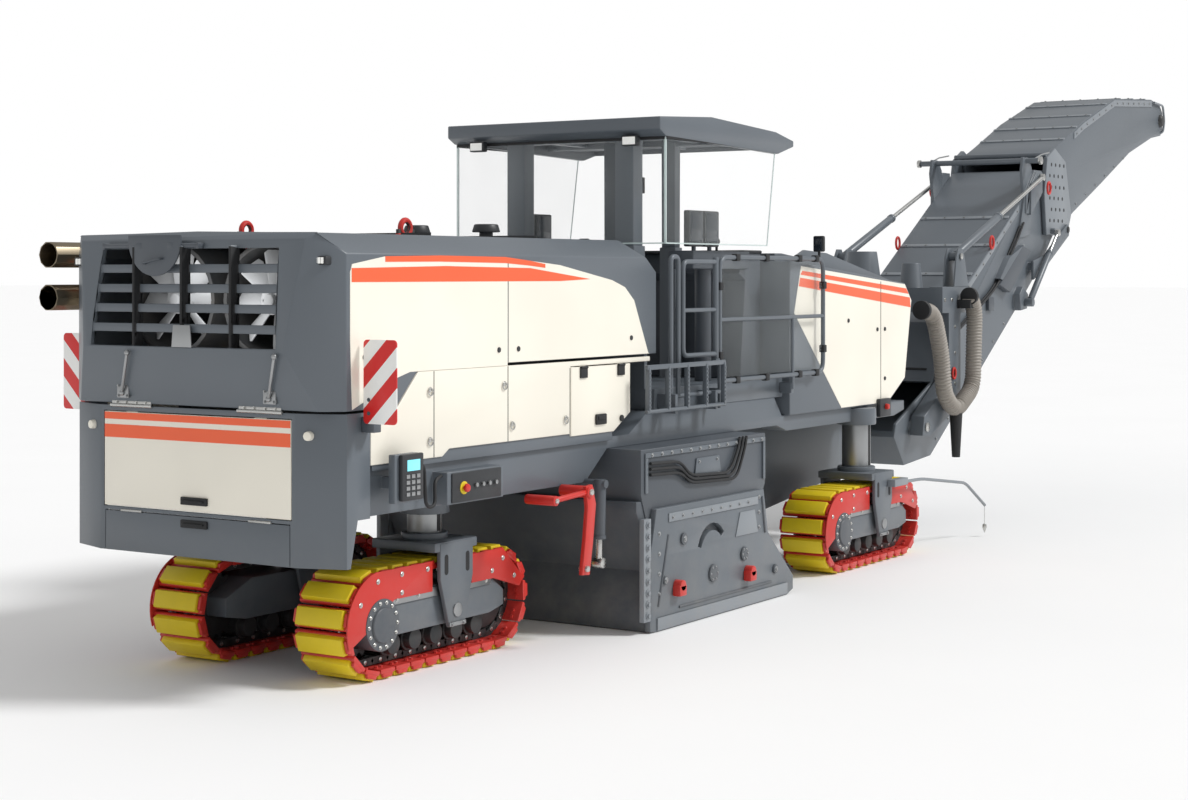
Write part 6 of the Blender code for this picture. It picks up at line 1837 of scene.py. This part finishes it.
# ------------------------------------------------------------------ studio
@dataclass(frozen=True)
class Studio:
    """Pale floor, soft lamps and the camera."""

    camera_at: tuple[float, float, float] = (-20.229, -9.847, 2.856)
    heading_deg: float = -57.37
    lens: float = 61.45
    shift: float = -0.1061
    sensor: float = 36.0
    sun_power: float = 2.2
    sun_angle: float = 0.22
    sun_way: tuple[float, float, float] = (-9.0, 15.0, -17.0)
    sky_power: float = 0.58
    grille_power: float = 3.0

    def floor(self) -> None:
        """A plain pale floor that runs past the view."""
        shader = Shader("floor_pale")
        shader.set(Base_Color=shader.mixed(shader.noise(0.4, 2.0), (0.93, 0.93, 0.93, 1.0),
            (0.96, 0.96, 0.96, 1.0)), Roughness=0.7)
        bm = bmesh.new()
        bmesh.ops.create_grid(bm, x_segments=2, y_segments=2, size=400.0)
        mesh = bpy.data.meshes.new("studio_floor")
        bm.to_mesh(mesh)
        bm.free()
        mesh.materials.append(shader.material)
        plane = bpy.data.objects.new("studio_floor", mesh)
        bpy.context.scene.collection.objects.link(plane)

    def lamp(self, name: str, at: Point, aim: Point, power: float, size: float) -> None:
        """One square soft lamp.

        Args:
            name: the lamp's name.
            at: where it stands.
            aim: the point that it shines at.
            power: its watts.
            size: its width.
        """
        data = bpy.data.lights.new(name, "AREA")
        data.shape, data.size, data.energy = ("SQUARE", size, power)
        made = bpy.data.objects.new(name, data)
        made.location = at
        made.rotation_euler = (Vector(aim) - Vector(at)).to_track_quat("-Z", "Y").to_euler()
        bpy.context.scene.collection.objects.link(made)

    def build(self) -> None:
        """Floor, lamps, world and camera."""
        self.floor()
        world = bpy.data.worlds.new("studio")
        world.use_nodes = True
        nodes, links = (world.node_tree.nodes, world.node_tree.links)
        seen, level = (nodes.new("ShaderNodeLightPath"), nodes.new("ShaderNodeMapRange"))
        level.inputs["To Min"].default_value, level.inputs["To Max"].default_value = (self.sky_power, 1.0)
        links.new(seen.outputs["Is Camera Ray"], level.inputs["Value"])
        links.new(level.outputs[0], nodes["Background"].inputs["Strength"])
        nodes["Background"].inputs["Color"].default_value = (1.0, 1.0, 1.0, 1.0)
        bpy.context.scene.world = world
        bpy.context.scene.view_settings.view_transform = "Standard"
        sun = bpy.data.lights.new("key_sun", "SUN")
        sun.energy, sun.angle = (self.sun_power, self.sun_angle)
        made = bpy.data.objects.new("key_sun", sun)
        made.rotation_euler = Vector(self.sun_way).to_track_quat("-Z", "Y").to_euler()
        bpy.context.scene.collection.objects.link(made)
        self.lamp("grille_lamp", (STATION_ZERO + 0.06, 0.0, 2.68), (0.0, 0.0, 2.68), self.grille_power, 0.75)
        camera = bpy.data.cameras.new("view")
        camera.lens, camera.sensor_width = (self.lens, self.sensor)
        camera.shift_y = self.shift
        camera.clip_end = 500.0
        made = bpy.data.objects.new("view", camera)
        made.location = self.camera_at
        made.rotation_euler = (math.pi / 2, 0.0, math.radians(self.heading_deg))
        bpy.context.scene.collection.objects.link(made)
        bpy.context.scene.camera = made


@dataclass
class ColdPlaner:
    """The whole machine: each sub-assembly in build order."""

    groups: list = field(default_factory=lambda: [*[Crawler("rear", side, 1.61, side.value * 0.68, 0.13, 1.52)
        for side in Side], *[Crawler("front", side, 8.01, side.value * 1.17, 0.142, 1.5) for side in Side],
        RearEnd(), EngineHood(), SidePanels(), MillingGroup(), Platform(), Canopy(), FrontBodywork(), Swivel(),
        DischargeConveyor()])

    def build(self) -> None:
        """Builds each sub-assembly and reports it."""
        for group in self.groups:
            group.build()
            LOG.info("built %s", type(group).__name__)


def main() -> None:
    """Builds the machine and its studio."""
    logging.basicConfig(level=logging.INFO, format="%(message)s")
    ColdPlaner().build()
    Studio().build()


if __name__ == "__main__":
    main()
